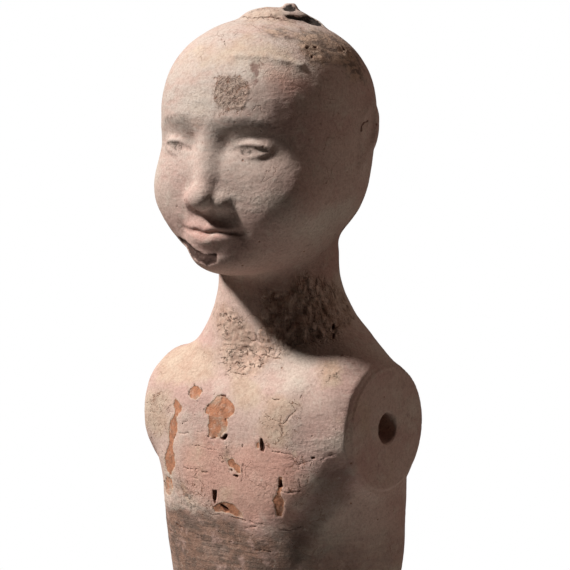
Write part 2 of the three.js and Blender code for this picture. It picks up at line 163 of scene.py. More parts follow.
# Slots and holes broken through the paint, dark inside
HOLES = [
    [(220, 394), (226, 394.8), (226, 396.6), (220, 395.6)],
    [(211, 437.8), (215.5, 436.8), (216, 438), (211, 439.2)],
    [(219, 436), (222, 437), (225, 434), (228.2, 433.2), (227.4, 437), (225.5, 440), (222, 440),
     (220, 438.4)],
    [(207.8, 435.6), (209.6, 436), (209.4, 437.6), (207.8, 437.6)],
    [(212.6, 489.5), (217, 490), (217, 496), (216, 503), (214.6, 503.5), (213.2, 499)],
    [(220, 503), (224, 505), (228, 508), (229.4, 511), (226, 511.5), (222.4, 508), (220.4, 505.5)],
    [(279.6, 480), (281.4, 480), (283, 487.6), (278.2, 488)],
    [(260.2, 438), (262, 438), (264, 443), (265.2, 448), (263.6, 452), (260.8, 451.4), (260, 446)],
    [(206.6, 405.8), (209, 404.6), (208.6, 406), (207, 407)],
    [(164.6, 409.2), (166.6, 408), (166.8, 409), (165, 410)],
    [(172, 439), (174.6, 434), (175.4, 434.6), (173, 439.6)],
    [(162.2, 487), (163.4, 480), (164.6, 480.6), (163.6, 487.4)],
    [(310.8, 457), (314.6, 457), (314.8, 459), (311.2, 459.4)],
    [(230.4, 469.4), (232.8, 469.4), (232.6, 471), (230.8, 471)],
    [(232.4, 474), (236, 475), (239, 475), (237.6, 478), (234.6, 476.8)],
    [(342, 45.6), (344, 47), (345.6, 50), (343.6, 49.6)],
    [(310.6, 55), (312.4, 55), (313.4, 57.6), (311.4, 58)],
    [(313.6, 46), (317, 46.6), (317, 48.2), (314, 47.8)],
    [(305.6, 47), (308.6, 46.4), (308.8, 48), (306, 48.6)],
    [(331.6, 324.4), (334, 323), (335.4, 326), (333.4, 330.6), (331.2, 328)],
    [(332.6, 333), (334.4, 334), (334, 339), (332.6, 338.6)],
]

# Cracks, and the painted shade in the ear's hollow: each one's line, and its width in pixels
CRACKS = [
    ([(179, 433), (184, 433.5), (189, 432.5)], 1.0),
    ([(196, 432.5), (203, 431)], 0.7),
    ([(190, 445), (200, 446.5), (207, 448.5)], 0.9),
    ([(207, 448.5), (214, 450), (222, 449.5)], 0.6),
    ([(183, 467.5), (190, 469), (196, 469), (200, 468)], 1.1),
    ([(202, 472), (209, 472.5)], 1.3),
    ([(195, 469), (197, 473), (195, 476)], 0.8),
    ([(192, 477), (199, 478.5), (203, 483), (205, 487)], 0.9),
    ([(265, 417), (269, 416.5), (272, 419), (278, 421), (282, 424.5)], 0.9),
    ([(282, 424.5), (285, 422.5), (288, 418), (292, 413.5), (295, 410.5)], 1.3),
    ([(279, 425), (282, 429), (283, 434)], 1.3),
    ([(274, 432), (279, 430), (284, 438), (290, 433)], 0.5),
    ([(272, 451.5), (279, 452.5), (286, 454), (291, 455), (296, 459)], 1.1),
    ([(298, 470), (299, 465), (302, 463.5), (306, 461.5), (312, 461)], 1.0),
    ([(312, 461), (320, 460), (328, 457), (334, 453)], 0.9),
    ([(281, 491), (287, 493), (295, 491.5), (301, 491)], 0.9),
    ([(299, 480), (300, 486), (299, 490)], 0.7),
    ([(201, 514.5), (206, 514), (213, 515), (220, 514)], 0.9),
    ([(232, 516.6), (238, 518), (247, 520.5)], 1.4),
    ([(250, 521), (255, 524), (262, 523.5)], 1.0),
    ([(246, 528), (252, 527), (257, 526.5)], 1.1),
    ([(170, 531), (176, 533)], 1.0),
    ([(176, 523), (179, 526), (183, 529)], 1.1),
    ([(192, 533), (200, 536), (206, 538.5)], 0.7),
    ([(196, 538), (207, 540.5)], 0.6),
    ([(228, 542), (236, 541.5), (243, 543)], 0.8),
    ([(253, 550), (258, 551), (264, 550.5), (271, 552)], 1.1),
    ([(281, 530), (288, 530), (296, 529), (303, 526)], 0.9),
    ([(183, 423.5), (184.5, 421.8), (188, 421)], 0.9),
    ([(243.4, 464), (242.4, 470), (243, 476), (241.4, 482)], 0.8),
    ([(228, 441), (227, 449)], 0.6),
    ([(224.6, 422), (225, 419), (228, 418)], 1.1),
    ([(219, 457), (220.5, 455.5), (222.6, 457), (224, 460.6), (222.6, 463), (220, 461.6), (219, 458)], 0.8),
    ([(242.6, 444.6), (242.4, 447)], 1.0),
    ([(300.4, 393.6), (299, 398)], 0.8),
    ([(272.6, 398.6), (276, 400), (279, 399.6)], 1.1),
    ([(193.6, 384), (194.6, 387)], 1.2),
    ([(189, 389), (188.6, 395)], 1.0),
    ([(201.6, 388), (202, 392)], 1.2),
    ([(194.6, 402), (197.6, 401)], 1.0),
    ([(258, 366.4), (260, 368), (261, 365), (264, 363.4)], 1.3),
    ([(263, 355), (268, 356.4), (274, 358.6), (281, 358.8)], 1.6),
    ([(247, 351), (247.6, 356)], 1.4),
    ([(235, 364), (238, 361.6), (240, 363.6)], 1.3),
    ([(224, 364.6), (228, 363), (233, 363.4)], 0.9),
    ([(220, 351), (224, 350.6)], 0.9),
    ([(221, 358.6), (226, 358)], 0.9),
    ([(226, 370), (232, 373), (240, 374), (247, 374.4)], 1.1),
    ([(250, 361), (251, 366)], 1.0),
    ([(241, 372), (245, 367), (251, 367.6)], 0.8),
    ([(228, 317), (233, 319), (240, 320)], 0.8),
    ([(241, 324), (240, 330)], 0.8),
    ([(227, 345), (234, 346), (243, 345.6)], 0.7),
    ([(232, 350), (232.6, 353)], 1.0),
    ([(248, 337), (252, 341), (256, 340)], 1.2),
    ([(256, 334), (258, 340), (262, 344)], 1.2),
    ([(224, 41), (225, 46)], 0.8),
    ([(234, 36), (238, 32.6)], 0.8),
    ([(243, 16.6), (252, 18.4), (261, 18), (270, 17), (280, 18.6)], 1.1),
    # painted shade: the dark crescent in the hollow of the ear, drawn as a crack
    ([(368, 121.4), (364.4, 123), (362.2, 126.6), (361.6, 131)], 1.7),
]

# Crusts of earth and broken slip, which stand up rough from the skin
CRUSTS = [
    [(262, 292), (270, 288), (283, 287), (288, 279), (300, 273), (316, 275), (332, 279), (342, 288),
     (350, 304), (356, 316), (350, 328), (340, 336), (334, 342), (316, 343), (298, 348), (284, 356),
     (272, 354), (262, 348), (256, 336), (258, 322), (262, 306)],
]

# Cracked beige slip at the root of the neck, on the crown and on the topknot
FLAKY = [
    [(300, 44), (310, 42), (322, 46), (326, 54), (322, 63), (314, 60), (308, 57), (302, 52)],
    [(336, 44), (346, 44), (356, 56), (358, 62), (348, 60), (338, 52)],
    [(240, 17), (250, 10), (264, 6), (282, 8), (284, 15), (300, 27), (284, 26), (262, 23), (246, 24)],
    [(216, 306), (226, 304), (240, 314), (252, 326), (260, 338), (274, 352), (284, 358), (272, 362),
     (262, 368), (258, 376), (240, 378), (228, 374), (220, 366), (217, 354), (219, 340), (215, 324)],
    [(326, 362), (334, 360), (342, 368), (338, 380), (328, 382), (322, 374)],
]

# Pale crumbs of slip along the edge of the earth, and beside a hole
CRUMBS = [
    [(162, 490), (170, 487), (178, 498), (190, 494), (202, 507), (196, 514), (184, 509), (172, 510),
     (163, 503)],
    [(230, 467), (234, 468), (236, 472), (232, 475), (229, 471)],
]

# Stronger pink over the lower breast, and a purplish breadth beside the forehead's spot
ROSY = [
    [(178, 446), (206, 434), (236, 446), (262, 438), (298, 458), (300, 480), (288, 520), (246, 522),
     (214, 506), (186, 496), (174, 470)],
    [(266, 68), (286, 68), (304, 80), (292, 90), (272, 84)],
]

# Painted shade with some grime: dark in the hollow below the breast, where shade falls
SHADE_AND_GRIME = [
    [(322, 478), (334, 464), (350, 462), (354, 478), (348, 500), (330, 520), (310, 546), (296, 572),
     (278, 572), (284, 545), (300, 518), (312, 494)],
]

# Paint crazed into small flakes
CRAZED = [
    [(262, 398), (300, 398), (300, 432), (290, 452), (268, 450), (256, 430)],
    [(150, 394), (168, 390), (170, 404), (164, 440), (150, 432)],
    [(290, 450), (318, 452), (318, 476), (304, 505), (286, 505), (280, 478)],
    [(180, 478), (214, 480), (214, 514), (180, 508)],
    [(214, 74), (250, 70), (254, 116), (212, 118)],
]

# Soft raised edge of the hair across the front of the crown
HAIR_EDGE = [(236, 56), (252, 57), (264, 57.4), (276, 59.6), (290, 62), (302, 66)]

# Beige and grey slip where the paint has worn thin
SLIP = [
    [(262, 398), (275, 394), (298, 401), (297, 408), (292, 414), (286, 420), (290, 432), (288, 440),
     (286, 448), (276, 449), (270, 444), (262, 437), (258, 428), (262, 418), (264, 408)],
    [(232, 374), (250, 378), (262, 390), (262, 402), (248, 410), (238, 408), (234, 400), (230, 390)],
    [(222, 487), (233, 486), (236, 492), (232, 498), (224, 499), (221, 493)],
    [(152, 392), (164, 390), (170, 400), (166, 412), (170, 420), (166, 432), (158, 436), (146, 425),
     (146, 400)],
    [(318, 364), (334, 360), (346, 372), (338, 386), (322, 388)],
    [(158, 354), (190, 340), (214, 348), (216, 376), (190, 384), (158, 382)],
    [(236, 50), (262, 44), (290, 52), (296, 62), (270, 58), (248, 57)],
]

# Grey and greenish stains
STAINS = [
    [(176, 480), (180, 480), (188, 486), (191, 494), (193, 500), (196, 505), (190, 508), (184, 502),
     (182, 494), (177, 488)],
    [(225, 449), (229, 450), (232, 459), (230, 463), (224, 461)],
    [(300, 30), (318, 30), (346, 38), (362, 62), (366, 84), (352, 80), (344, 66), (330, 66), (318, 66),
     (306, 60), (298, 46)],
    [(262, 28), (284, 30), (300, 34), (300, 42), (276, 38), (262, 34)],
]

# Rough ring of broken paint on the forehead: middle, inner and outer radius
RING_AT = (231, 93)
RING_RADII = (4, 19)

# Purplish brown spot beside it
SPOT = [
    [(249.6, 66), (254, 62), (260, 63), (266, 64), (264, 67), (259, 68), (260, 75), (258, 80), (256, 86),
     (252.6, 84), (255, 76), (251, 71)],
]

# Black broken ends of the topknot
CHARRED = [
    [(282.6, 9), (285, 5), (291, 4), (294, 7), (297.4, 11), (291, 11.6), (285.6, 10.6)],
    [(284, 15.4), (290, 15), (300, 16.6), (312, 14), (320, 17), (323.6, 26.6), (314, 24.6), (302, 21),
     (288, 19)],
]

# Chipped dark place along the jaw
JAW_CHIP = [
    [(178, 236), (186, 241), (194, 249), (206, 254), (216, 253), (217, 262), (208, 266), (198, 262),
     (188, 255), (180, 246)],
]

# Wear of outlined places: the outlines, by how many pixels their edges waver, and are toothed, and how far
# from the edge the wear is measured, in mm
PICTURED_WEAR = {
    "bare": (BARE_CLAY, 1.6, 0.9, 4),
    "hole": (HOLES, 0.5, 0.4, 4),
    "crazed": (CRAZED, 4.0, 0, 4),
    "crumbs": (CRUMBS, 3.0, 0, 4),
    # painted shade with some grime, in the hollow below the breast
    "shade_and_grime": (SHADE_AND_GRIME, 3.0, 0, 6),
    "rosy": (ROSY, 4.0, 0, 6),
    "slip": (SLIP, 2.5, 0, 6),
    "stain": (STAINS, 2.5, 0, 6),
    "spot": (SPOT, 0.8, 0, 4),
    "chip": (JAW_CHIP, 1.2, 0, 4),
    "charred": (CHARRED, 0.8, 0, 4),
    "crust": (CRUSTS, 2.5, 0, 4),
    "flaky": (FLAKY, 3.0, 0, 4),
}
# The measure of a place on the far side
FAR_OUTSIDE = -9

# Wear pressed into the skin: how deep, and between which distances from its edge it sinks, in mm
PRESSED = {
    "bare": (0.24, -0.08, 0.14),
    "hole": (1.0, -0.1, 0.5),
    "crack": (0.30, -0.10, 0.12),
    "spot": (0.25, -0.1, 0.3),
}


def along(place, table):
    """Smooth values between the rows of a table whose first column is the place."""
    rows = np.asarray(table, float)
    at, values = rows[:, 0], rows[:, 1:]
    slopes = np.gradient(values, at, axis=0)
    place = np.clip(place, at[0], at[-1])
    i = np.clip(np.searchsorted(at, place) - 1, 0, len(at) - 2)
    step = at[i + 1] - at[i]
    t = (place - at[i]) / step
    start = (1 + 2 * t) * (1 - t) ** 2
    end = t * t * (3 - 2 * t)
    start_turn = t * (1 - t) ** 2 * step
    end_turn = t * t * (t - 1) * step
    smooth = [
        start * values[i, c] + end * values[i + 1, c]
        + start_turn * slopes[i, c] + end_turn * slopes[i + 1, c]
        for c in range(values.shape[1])
    ]
    return smooth


# Fields are negative inside the clay. A smooth union leaves a fillet of the given size.
def blend(a, b, size):
    share = np.clip(0.5 + 0.5 * (b - a) / size, 0, 1)
    return b + (a - b) * share - size * share * (1 - share)


def both(a, b, size):
    return -blend(-a, -b, size)


def carve(a, b, size):
    return -blend(-a, b, size)


def bump(offset, width):
    return np.exp(-((offset / width) ** 2))


def step_up(offset, width):
    return 1 / (1 + np.exp(np.clip(-offset / width, -40, 40)))


def ellipsoid(p, centre, radii):
    q = [(p[i] - centre[i]) / radii[i] for i in range(3)]
    reach = np.sqrt(q[0] ** 2 + q[1] ** 2 + q[2] ** 2)
    steepness = np.sqrt((q[0] / radii[0]) ** 2 + (q[1] / radii[1]) ** 2 + (q[2] / radii[2]) ** 2)
    return reach * (reach - 1) / np.maximum(steepness, 1e-6)


def grow(f, p, centre, radii, fillet):
    """Joins an ellipsoid to a field."""
    return blend(f, ellipsoid(p, centre, radii), fillet)


def square_ellipsoid(p, centre, radii, power):
    total = sum(np.abs((p[i] - centre[i]) / radii[i]) ** power for i in range(3))
    return (total ** (1 / power) - 1) * min(radii)


def rod(p, start, end, start_radius, end_radius):
    d = [end[i] - start[i] for i in range(3)]
    square = sum(c * c for c in d)
    t = np.clip(sum((p[i] - start[i]) * d[i] for i in range(3)) / square, 0, 1)
    gap = np.sqrt(sum((p[i] - start[i] - t * d[i]) ** 2 for i in range(3)))
    return gap - (start_radius + t * (end_radius - start_radius))


def section(x, y, half, front, back, middle, power):
    depth = np.where(y < middle, front, back)
    reach = (np.abs(x / half) ** power + np.abs((y - middle) / depth) ** power) ** (1 / power)
    return (reach - 1) * np.minimum(half, depth)


def trunk(p):
    x, y, height = p
    # the left shoulder is carried a little higher than the right
    z = height - 0.08 * x * np.clip((height - 446) / 18, 0, 1)
    p = (x, y, z)
    half, front, back, middle, power = along(z, TRUNK)
    side = np.abs(x)
    s = (side, y, z)
    f = section(x, y, half, front, back, middle, power)
    # the left side of the belly falls away
    below = z - 385
    fallen = 34.5 + np.where(below > 0, 0.012, 0.004) * below ** 2
    f = both(f, 0.743 * x - 0.669 * y - fallen, 12)
    f = both(f, 266 - z, 10)
    f = both(f, z - 522, 4)
    # chest, its lower edge rising towards the arms
    tilted = (x, y, z - 0.32 * np.maximum(side - 12, 0))
    f = blend(f, square_ellipsoid(tilted, (0, -14.5, 433), (45, 15.2, 23), 2.8), 9)
    # shoulder blades
    f = grow(f, s, (22, 27, 438), (17, 10, 20), 10)
    # buttocks
    f = grow(f, s, (22, 20, 290), (23, 21, 24), 8)
    # belly
    f = grow(f, p, (0, -17, 335), (30, 13.5, 30), 12)
    # shoulder caps
    f = grow(f, s, (33, 2, 449), (16, 19, 18), 8)
    return f


def leg(p):
    x, y, z = p
    side = np.abs(x)
    s = (side, y, z)
    place, half, front, back, middle = along(z, LEG)
    f = section(side - place, y, half, front, back, middle, 2.15)
    f = both(f, z - 305, 6)
    f = both(f, -6 - z, 2)
    # knee and ankle bones
    f = grow(f, s, (24, -9, 161), (11, 7, 11), 5)
    f = grow(f, s, (32.5, 8, 25), (3, 4, 5), 4)
    f = grow(f, s, (13.5, 5, 27), (3, 4, 5), 4)
    return f


def foot(p):
    x, y, z = p
    place, half, height = along(y, FOOT)
    across = np.abs(x) - place
    rise = np.maximum(z + 4, 0) / (height + 4)
    reach = (np.abs(across / half) ** 2.3 + rise ** 2.3) ** (1 / 2.3)
    f = (reach - 1) * np.minimum(half, height)
    f = both(f, -56 - y, 7)
    f = both(f, y - 20, 8)
    f = both(f, -6 - z, 2)
    # grooves between the toes
    toe = across / 6.2
    groove = 1.6 * bump(toe - np.round(toe - 0.5) - 0.5, 0.16)
    return f + groove * np.clip((-40 - y) / 6, 0, 1)


def skull(p):
    x, y, z = p
    s = (np.abs(x), y, z)
    f = square_ellipsoid(p, (0, -5, 556.5), (39.3, 40.6, 38), 2.25)
    # back of the head above the nape
    f = grow(f, p, (0, 0.6, 535), (36.3, 31.6, 28), 6)
    # front of the head, jaw, cheeks and chin
    f = grow(f, p, (0, -13, 532), (36.5, 31.5, 33), 10)
    f = grow(f, p, (0, -14, 516), (28, 27, 16.5), 8)
    f = grow(f, s, (19, -26, 529), (16, 14, 15), 8)
    f = grow(f, p, (0, -31.5, 507.5), (14, 12, 8.5), 6)
    return f


def face_relief(x, z):
    """How far the carving of the face stands out from the head."""
    side = np.abs(x)
    from_eye = side - EYE_ACROSS
    above_eye = z - EYE_HEIGHT
    # sockets, inner corners and brows
    h = -2.7 * bump(from_eye + 0.5, 12) * bump(above_eye - 1.5, 7.5)
    h -= 1.6 * bump(side - 7.5, 4.0) * bump(above_eye - 1, 5)
    brow = EYE_HEIGHT + 11 - 0.012 * (side - 11) ** 2
    h += 0.9 * bump(z - brow, 3.6) * bump(side - 14, 13)
    # mouth
    h += 1.7 * bump(x, 17) * bump(z - 514.5, 10.5)
    lip = np.clip(1 - (side / 13.5) ** 2, 0, 1) ** 0.7
    line = 515.6 - 0.35 * bump(x, 3.0) + 0.25 * bump(side - 5, 3) + 0.0025 * x * x
    upper = line + 2.2 - 0.5 * bump(x, 2.0) - 0.011 * x * x
    lower = line - 2.7 + 0.012 * x * x
    h += 1.0 * bump(z - upper, 1.9) * lip
    h += 1.3 * bump(z - lower, 2.4) * lip * bump(x, 13)
    h -= 1.0 * bump(z - line, 0.9) * step_up(13.0 - side, 0.8)
    h -= 0.6 * bump(side - 13.8, 3.0) * bump(z - 515.8, 3.0)
    # hollow under the nose, hollow over the chin, folds beside the mouth
    h -= 0.5 * bump(x, 1.7) * bump(z - 521.5, 2.4)
    h -= 0.9 * bump(x, 10) * bump(z - 507.8, 2.8)
    fold = 10.5 + (524 - z) * 0.42
    h -= 0.35 * bump(side - fold, 3.2) * bump(z - 520.5, 6)
    return h


def eye_opening(x, z):
    """The height above an eye's middle, and the edges of its lids there."""
    from_eye = np.abs(x) - EYE_ACROSS
    slant = z - EYE_HEIGHT - 0.06 * from_eye
    arch = np.clip(1 - (from_eye / 8.3) ** 2, 0, 1)
    return from_eye, slant, arch, 1.9 * arch - 0.6, -1.5 * arch - 0.6


def eyes(p):
    x, y, z = p
    from_eye, slant, arch, top, bottom = eye_opening(x, z)
    f = ellipsoid((np.abs(x), y, z), (EYE_ACROSS, -32.0, EYE_HEIGHT + 0.3), (10.4, 9.6, 7.4))
    opened = step_up(top - slant, 0.28) * step_up(slant - bottom, 0.28)
    opened = opened * step_up(8.3 - np.abs(from_eye), 0.4)
    f = f + 0.75 * opened
    f = f - 0.35 * bump(slant - top - 0.9, 0.8) * np.clip(arch * 2, 0, 1)
    f = f - 0.25 * bump(slant - bottom + 0.9, 0.8) * np.clip(arch * 2, 0, 1)
    f = f + 0.45 * bump(slant - 4.4 * arch - 0.4, 0.8) * np.clip(arch * 3, 0, 1)
    return f


def nose(p):
    x, y, z = p
    s = (np.abs(x), y, z)
    f = rod(p, (0, -38.6, 554), (0, -45.6, 530), 3.8, 5.0)
    f = grow(f, p, (0, -46.9, 528.8), (5.4, 5.4, 4.8), 2.5)
    f = grow(f, s, (6.4, -42.6, 527.4), (3.9, 5.2, 3.9), 2.6)
    f = carve(f, ellipsoid(s, (3.5, -46.2, 523.6), (1.7, 2.6, 1.5)), 1.0)
    return f


def ear(p):
    x, y, z = p
    side = np.abs(x)
    lean = y - 0.12 * (z - 551)
    q = (side, lean, z)
    f = ellipsoid(q, (36.4, 6, 553), (3.6, 8.5, 12))
    f = grow(f, q, (36, 3, 541), (3.2, 4.5, 5), 3)
    f = carve(f, ellipsoid(q, (40.6, 4.8, 553), (3.2, 5, 7.8)), 1.2)
    return f


def topknot(p):
    f = square_ellipsoid(p, (1, -2.5, 590.5), (13.2, 13, 7.6), 2.5)
    f = grow(f, p, (6, 4, 588.5), (12, 10.5, 6.8), 1.2)
    # broken end that stands up
    return grow(f, p, (5.2, 1.3, 596.4), (3.4, 3, 3.8), 1)


def shoulders(p):
    x, y, z = p
    side = np.abs(x)
    reach = np.sqrt((y - ARM_BACK) ** 2 + (z - ARM_HEIGHT) ** 2)
    f = reach - (ARM_RADIUS - 0.1 + 0.1 * (ARM_FACE_AT - side))
    f = both(f, side - (ARM_FACE_AT - 0.9), 0.8)
    f = both(f, 20 - side, 0.8)
    return f


def arm_faces(p):
    x, y, z = p
    side = np.abs(x)
    reach = np.sqrt((y - ARM_BACK) ** 2 + (z - ARM_HEIGHT) ** 2)
    f = both(reach - ARM_RADIUS, side - ARM_FACE_AT, 0.8)
    return both(f, 20 - side, 0.8)


def base(p):
    x, y, z = p
    corner, edge = 16, 3
    qx = np.abs(x) - (58 - corner)
    qy = np.abs(y + 10) - (56 - corner)
    level = np.hypot(np.maximum(qx, 0), np.maximum(qy, 0)) + np.minimum(np.maximum(qx, qy), 0) - corner
    upright = np.abs(z + 7) - 7
    a = np.maximum(level + edge, 0)
    b = np.maximum(upright + edge, 0)
    return np.hypot(a, b) + np.minimum(np.maximum(level + edge, upright + edge), 0) - edge


def figure(p):
    x, y, z = p
    side = np.abs(x)
    f = skull(p)
    f = f - 0.9 * face_relief(x, z) * np.clip((-18 - y) / 10, 0, 1)
    f = blend(f, eyes(p), 1.4)
    f = blend(f, nose(p), 3.5)
    f = blend(f, ear(p), 1.5)
    f = blend(f, topknot(p), 1.5)
    body = blend(trunk(p), shoulders(p), 5)
    body = both(body, side - (ARM_FACE_AT - 0.5), 0.8)
    body = np.minimum(body, arm_faces(p))
    f = blend(body, f, 4)
    f = blend(f, blend(leg(p), foot(p), 5), 6)
    # middle line of the back, cleft below it, navel
    back_line = np.clip((y - 10) / 10, 0, 1) * np.clip((z - 320) / 20, 0, 1) * np.clip((458 - z) / 20, 0, 1)
    f = f + 1.6 * bump(x, 4) * back_line
    f = f + 3.5 * bump(x, 2.5) * np.clip((y - 15) / 8, 0, 1) * bump(z - 286, 20)
    front = np.clip((-10 - y) / 5, 0, 1)
    f = f + 2.2 * bump(x, 2.2) * front * bump(z - 351, 2.4)
    # pit of the neck and collar bones
    f = f + 1.2 * bump(x, 6) * bump(z - 467, 6) * front
    bone = 466 + 0.1 * (side - 8)
    bone_ends = np.clip((side - 4) / 4, 0, 1) * np.clip((36 - side) / 8, 0, 1)
    f = f - 0.45 * bump(z - bone, 3.4) * bone_ends * front
    # bore for the peg of the arms
    f = carve(f, np.hypot(y - ARM_BACK, z - ARM_HEIGHT) - BORE_RADIUS, 0.6)
    return blend(f, base(p), 2.5)


def slope_of(field, p, reach=0.05):
    slopes = []
    for i in range(3):
        ahead = [c + reach if k == i else c for k, c in enumerate(p)]
        behind = [c - reach if k == i else c for k, c in enumerate(p)]
        slopes.append((field(ahead) - field(behind)) / (2 * reach))
    return np.stack(slopes, 1)


def surface_net(field, low, high, step):
    """A closed net of quads round the field's skin, from a grid of cubes."""
    counts = [int(np.ceil((high[i] - low[i]) / step)) + 1 for i in range(3)]
    axes = [low[i] + step * np.arange(counts[i]) for i in range(3)]
    inside = field(np.meshgrid(*axes, indexing="ij")) < 0
    corners = np.zeros([c - 1 for c in counts], int)
    for i, j, k in np.ndindex(2, 2, 2):
        corners += inside[i:counts[0] - 1 + i, j:counts[1] - 1 + j, k:counts[2] - 1 + k]
    mixed = (corners > 0) & (corners < 8)
    index = np.full(mixed.shape, -1)
    index[mixed] = np.arange(mixed.sum())
    points = np.array(low) + step * (np.argwhere(mixed) + 0.5)
    quads = []
    for axis in range(3):
        a, b = [(1, 2), (2, 0), (0, 1)][axis]
        here = np.take(inside, range(counts[axis] - 1), axis)
        there = np.take(inside, range(1, counts[axis]), axis)
        for turned, change in ((False, here & ~there), (True, ~here & there)):
            at = np.argwhere(change)
            at = at[(at[:, a] > 0) & (at[:, b] > 0)]
            ring = []
            for da, db in ((0, 0), (-1, 0), (-1, -1), (0, -1)):
                c = at.copy()
                c[:, a] += da
                c[:, b] += db
                ring.append(index[c[:, 0], c[:, 1], c[:, 2]])
            ring = np.stack(ring, 1)
            quads.append(ring[:, ::-1] if turned else ring)
    return points, np.concatenate(quads)


def settle(field, points, rounds, limit=1.5):
    """Moves points down the field's slope onto its skin."""
    points = points.copy()
    for _ in range(rounds):
        p = [points[:, i] for i in range(3)]
        value = field(p)
        g = slope_of(field, p)
        move = value[:, None] * g / np.maximum((g ** 2).sum(1), 0.05)[:, None]
        size = np.linalg.norm(move, axis=1)
        points -= move * np.minimum(1, limit / np.maximum(size, 1e-9))[:, None]
    return points


def edges_of(triangles):
    return np.concatenate([triangles[:, [0, 1]], triangles[:, [1, 2]], triangles[:, [2, 0]]])


def split_long_edges(points, triangles, wanted):
    """Halves every edge longer than wanted() says, and keeps the mesh closed."""
    edges = np.sort(edges_of(triangles), axis=1)
    code = edges[:, 0].astype(np.int64) * len(points) + edges[:, 1]
    unique_code, back = np.unique(code, return_inverse=True)
    unique = np.stack([unique_code // len(points), unique_code % len(points)], 1)
    back = back.reshape(3, -1).T
    a, b = points[unique[:, 0]], points[unique[:, 1]]
    middle = (a + b) / 2
    cut = np.linalg.norm(a - b, axis=1) > wanted(middle)
    number = np.full(len(unique), -1)
    number[cut] = len(points) + np.arange(cut.sum())
    points = np.concatenate([points, middle[cut]])
    m = number[back]
    pattern = (m >= 0) @ [1, 2, 4]
    out = [triangles[pattern == 0]]
    for kind in range(1, 8):
        t = triangles[pattern == kind]
        q = m[pattern == kind]
        if not len(t):
            continue
        if kind == 7:
            out.append(np.stack([t[:, 0], q[:, 0], q[:, 2]], 1))
            out.append(np.stack([q[:, 0], t[:, 1], q[:, 1]], 1))
            out.append(np.stack([q[:, 2], q[:, 1], t[:, 2]], 1))
            out.append(np.stack([q[:, 0], q[:, 1], q[:, 2]], 1))
            continue
        turn = {1: 0, 2: 1, 4: 2, 3: 0, 6: 1, 5: 2}[kind]
        v = np.roll(t, -turn, 1)
        w = np.roll(q, -turn, 1)
        if kind in (1, 2, 4):
            out.append(np.stack([v[:, 0], w[:, 0], v[:, 2]], 1))
            out.append(np.stack([w[:, 0], v[:, 1], v[:, 2]], 1))
        else:
            out.append(np.stack([w[:, 0], v[:, 1], w[:, 1]], 1))
            out.append(np.stack([v[:, 0], w[:, 0], w[:, 1]], 1))
            out.append(np.stack([v[:, 0], w[:, 1], v[:, 2]], 1))
    return points, np.concatenate(out)


def even_out(points, triangles, share=0.5):
    """Moves each point part of the way to the middle of its neighbours."""
    edges = edges_of(triangles)
    total = np.zeros_like(points)
    for i in range(3):
        total[:, i] = np.bincount(edges[:, 0], points[edges[:, 1], i], len(points))
    count = np.bincount(edges[:, 0], minlength=len(points))
    return points + share * (total / np.maximum(count, 1)[:, None] - points)


def lattice_noise(points, size, seed=0):
    """Smooth noise from -1 to 1 whose lumps are about the given size."""
    q = points / size + 31.7 * (seed + 1)
    cell = np.floor(q).astype(np.int64)
    f = q - cell
    u = f * f * (3 - 2 * f)
    total = np.zeros(len(points))
    for i, j, k in np.ndindex(2, 2, 2):
        # a whole number scrambled from the corner's place and the seed
        h = (cell[:, 0] + i) * 73856093 ^ (cell[:, 1] + j) * 19349663 ^ (cell[:, 2] + k) * 83492791
        h = (h ^ (seed * 2654435761)) & 0x7FFFFFFF
        h = ((h ^ (h >> 15)) * 0x2C1B3C6D) & 0x7FFFFFFF
        h = ((h ^ (h >> 12)) * 0x297A2D39) & 0x7FFFFFFF
        h = h ^ (h >> 15)
        weight = (u[:, 0] if i else 1 - u[:, 0]) * (u[:, 1] if j else 1 - u[:, 1])
        total += (h / 0x3FFFFFFF - 1) * weight * (u[:, 2] if k else 1 - u[:, 2])
    return total


def rough_noise(points, size, seed=0, layers=3):
    total = sum(lattice_noise(points, size / 2 ** n, seed + n) / 2 ** n for n in range(layers))
    return total / (2 - 0.5 ** (layers - 1))


# The camera's own directions, and where a point of the form falls in the picture
azimuth = math.radians(VIEW_AZIMUTH)
elevation = math.radians(VIEW_ELEVATION)
to_camera = np.array([
    math.sin(azimuth) * math.cos(elevation), -math.cos(azimuth) * math.cos(elevation), math.sin(elevation),
])
to_right = np.array([math.cos(azimuth), math.sin(azimuth), 0])
to_top = np.cross(to_camera, to_right)


def in_metres(points):
    return points * PART + np.array([0, BASE_FORWARD, BASE_HEIGHT])


def in_parts(places):
    return (places - np.array([0, BASE_FORWARD, BASE_HEIGHT])) / PART


def in_picture(points):
    """Pixel places, x and y, of points in parts."""
    offset = in_metres(points) - np.array(VIEW_AT)
    depth = VIEW_DISTANCE - offset @ to_camera
    across = offset @ to_right * VIEW_DISTANCE / depth
    up = offset @ to_top * VIEW_DISTANCE / depth
    middle = PICTURE_PIXELS / 2
    return np.stack([middle + across / PIXEL, middle - up / PIXEL], 1)


def to_line(places, line):
    """Distance from each place to a line of several stretches."""
    best = np.full(len(places), 1e9)
    for a, b in zip(line[:-1], line[1:]):
        a, b = np.array(a, float), np.array(b, float)
        d = b - a
        t = np.clip((places - a) @ d / max(d @ d, 1e-9), 0, 1)
        best = np.minimum(best, np.linalg.norm(places - a - t[:, None] * d, axis=1))
    return best


def inside_outline(places, outline):
    """Distance into a closed outline, positive inside."""
    gap = to_line(places, list(outline) + [outline[0]])
    x, y = places[:, 0], places[:, 1]
    inside = np.zeros(len(places), bool)
    for (x0, y0), (x1, y1) in zip(outline, list(outline[1:]) + [outline[0]]):
        if y0 == y1:
            continue
        crosses = (y0 > y) != (y1 > y)
        inside ^= crosses & (x < (x1 - x0) * (y - y0) / (y1 - y0) + x0)
    return np.where(inside, gap, -gap)


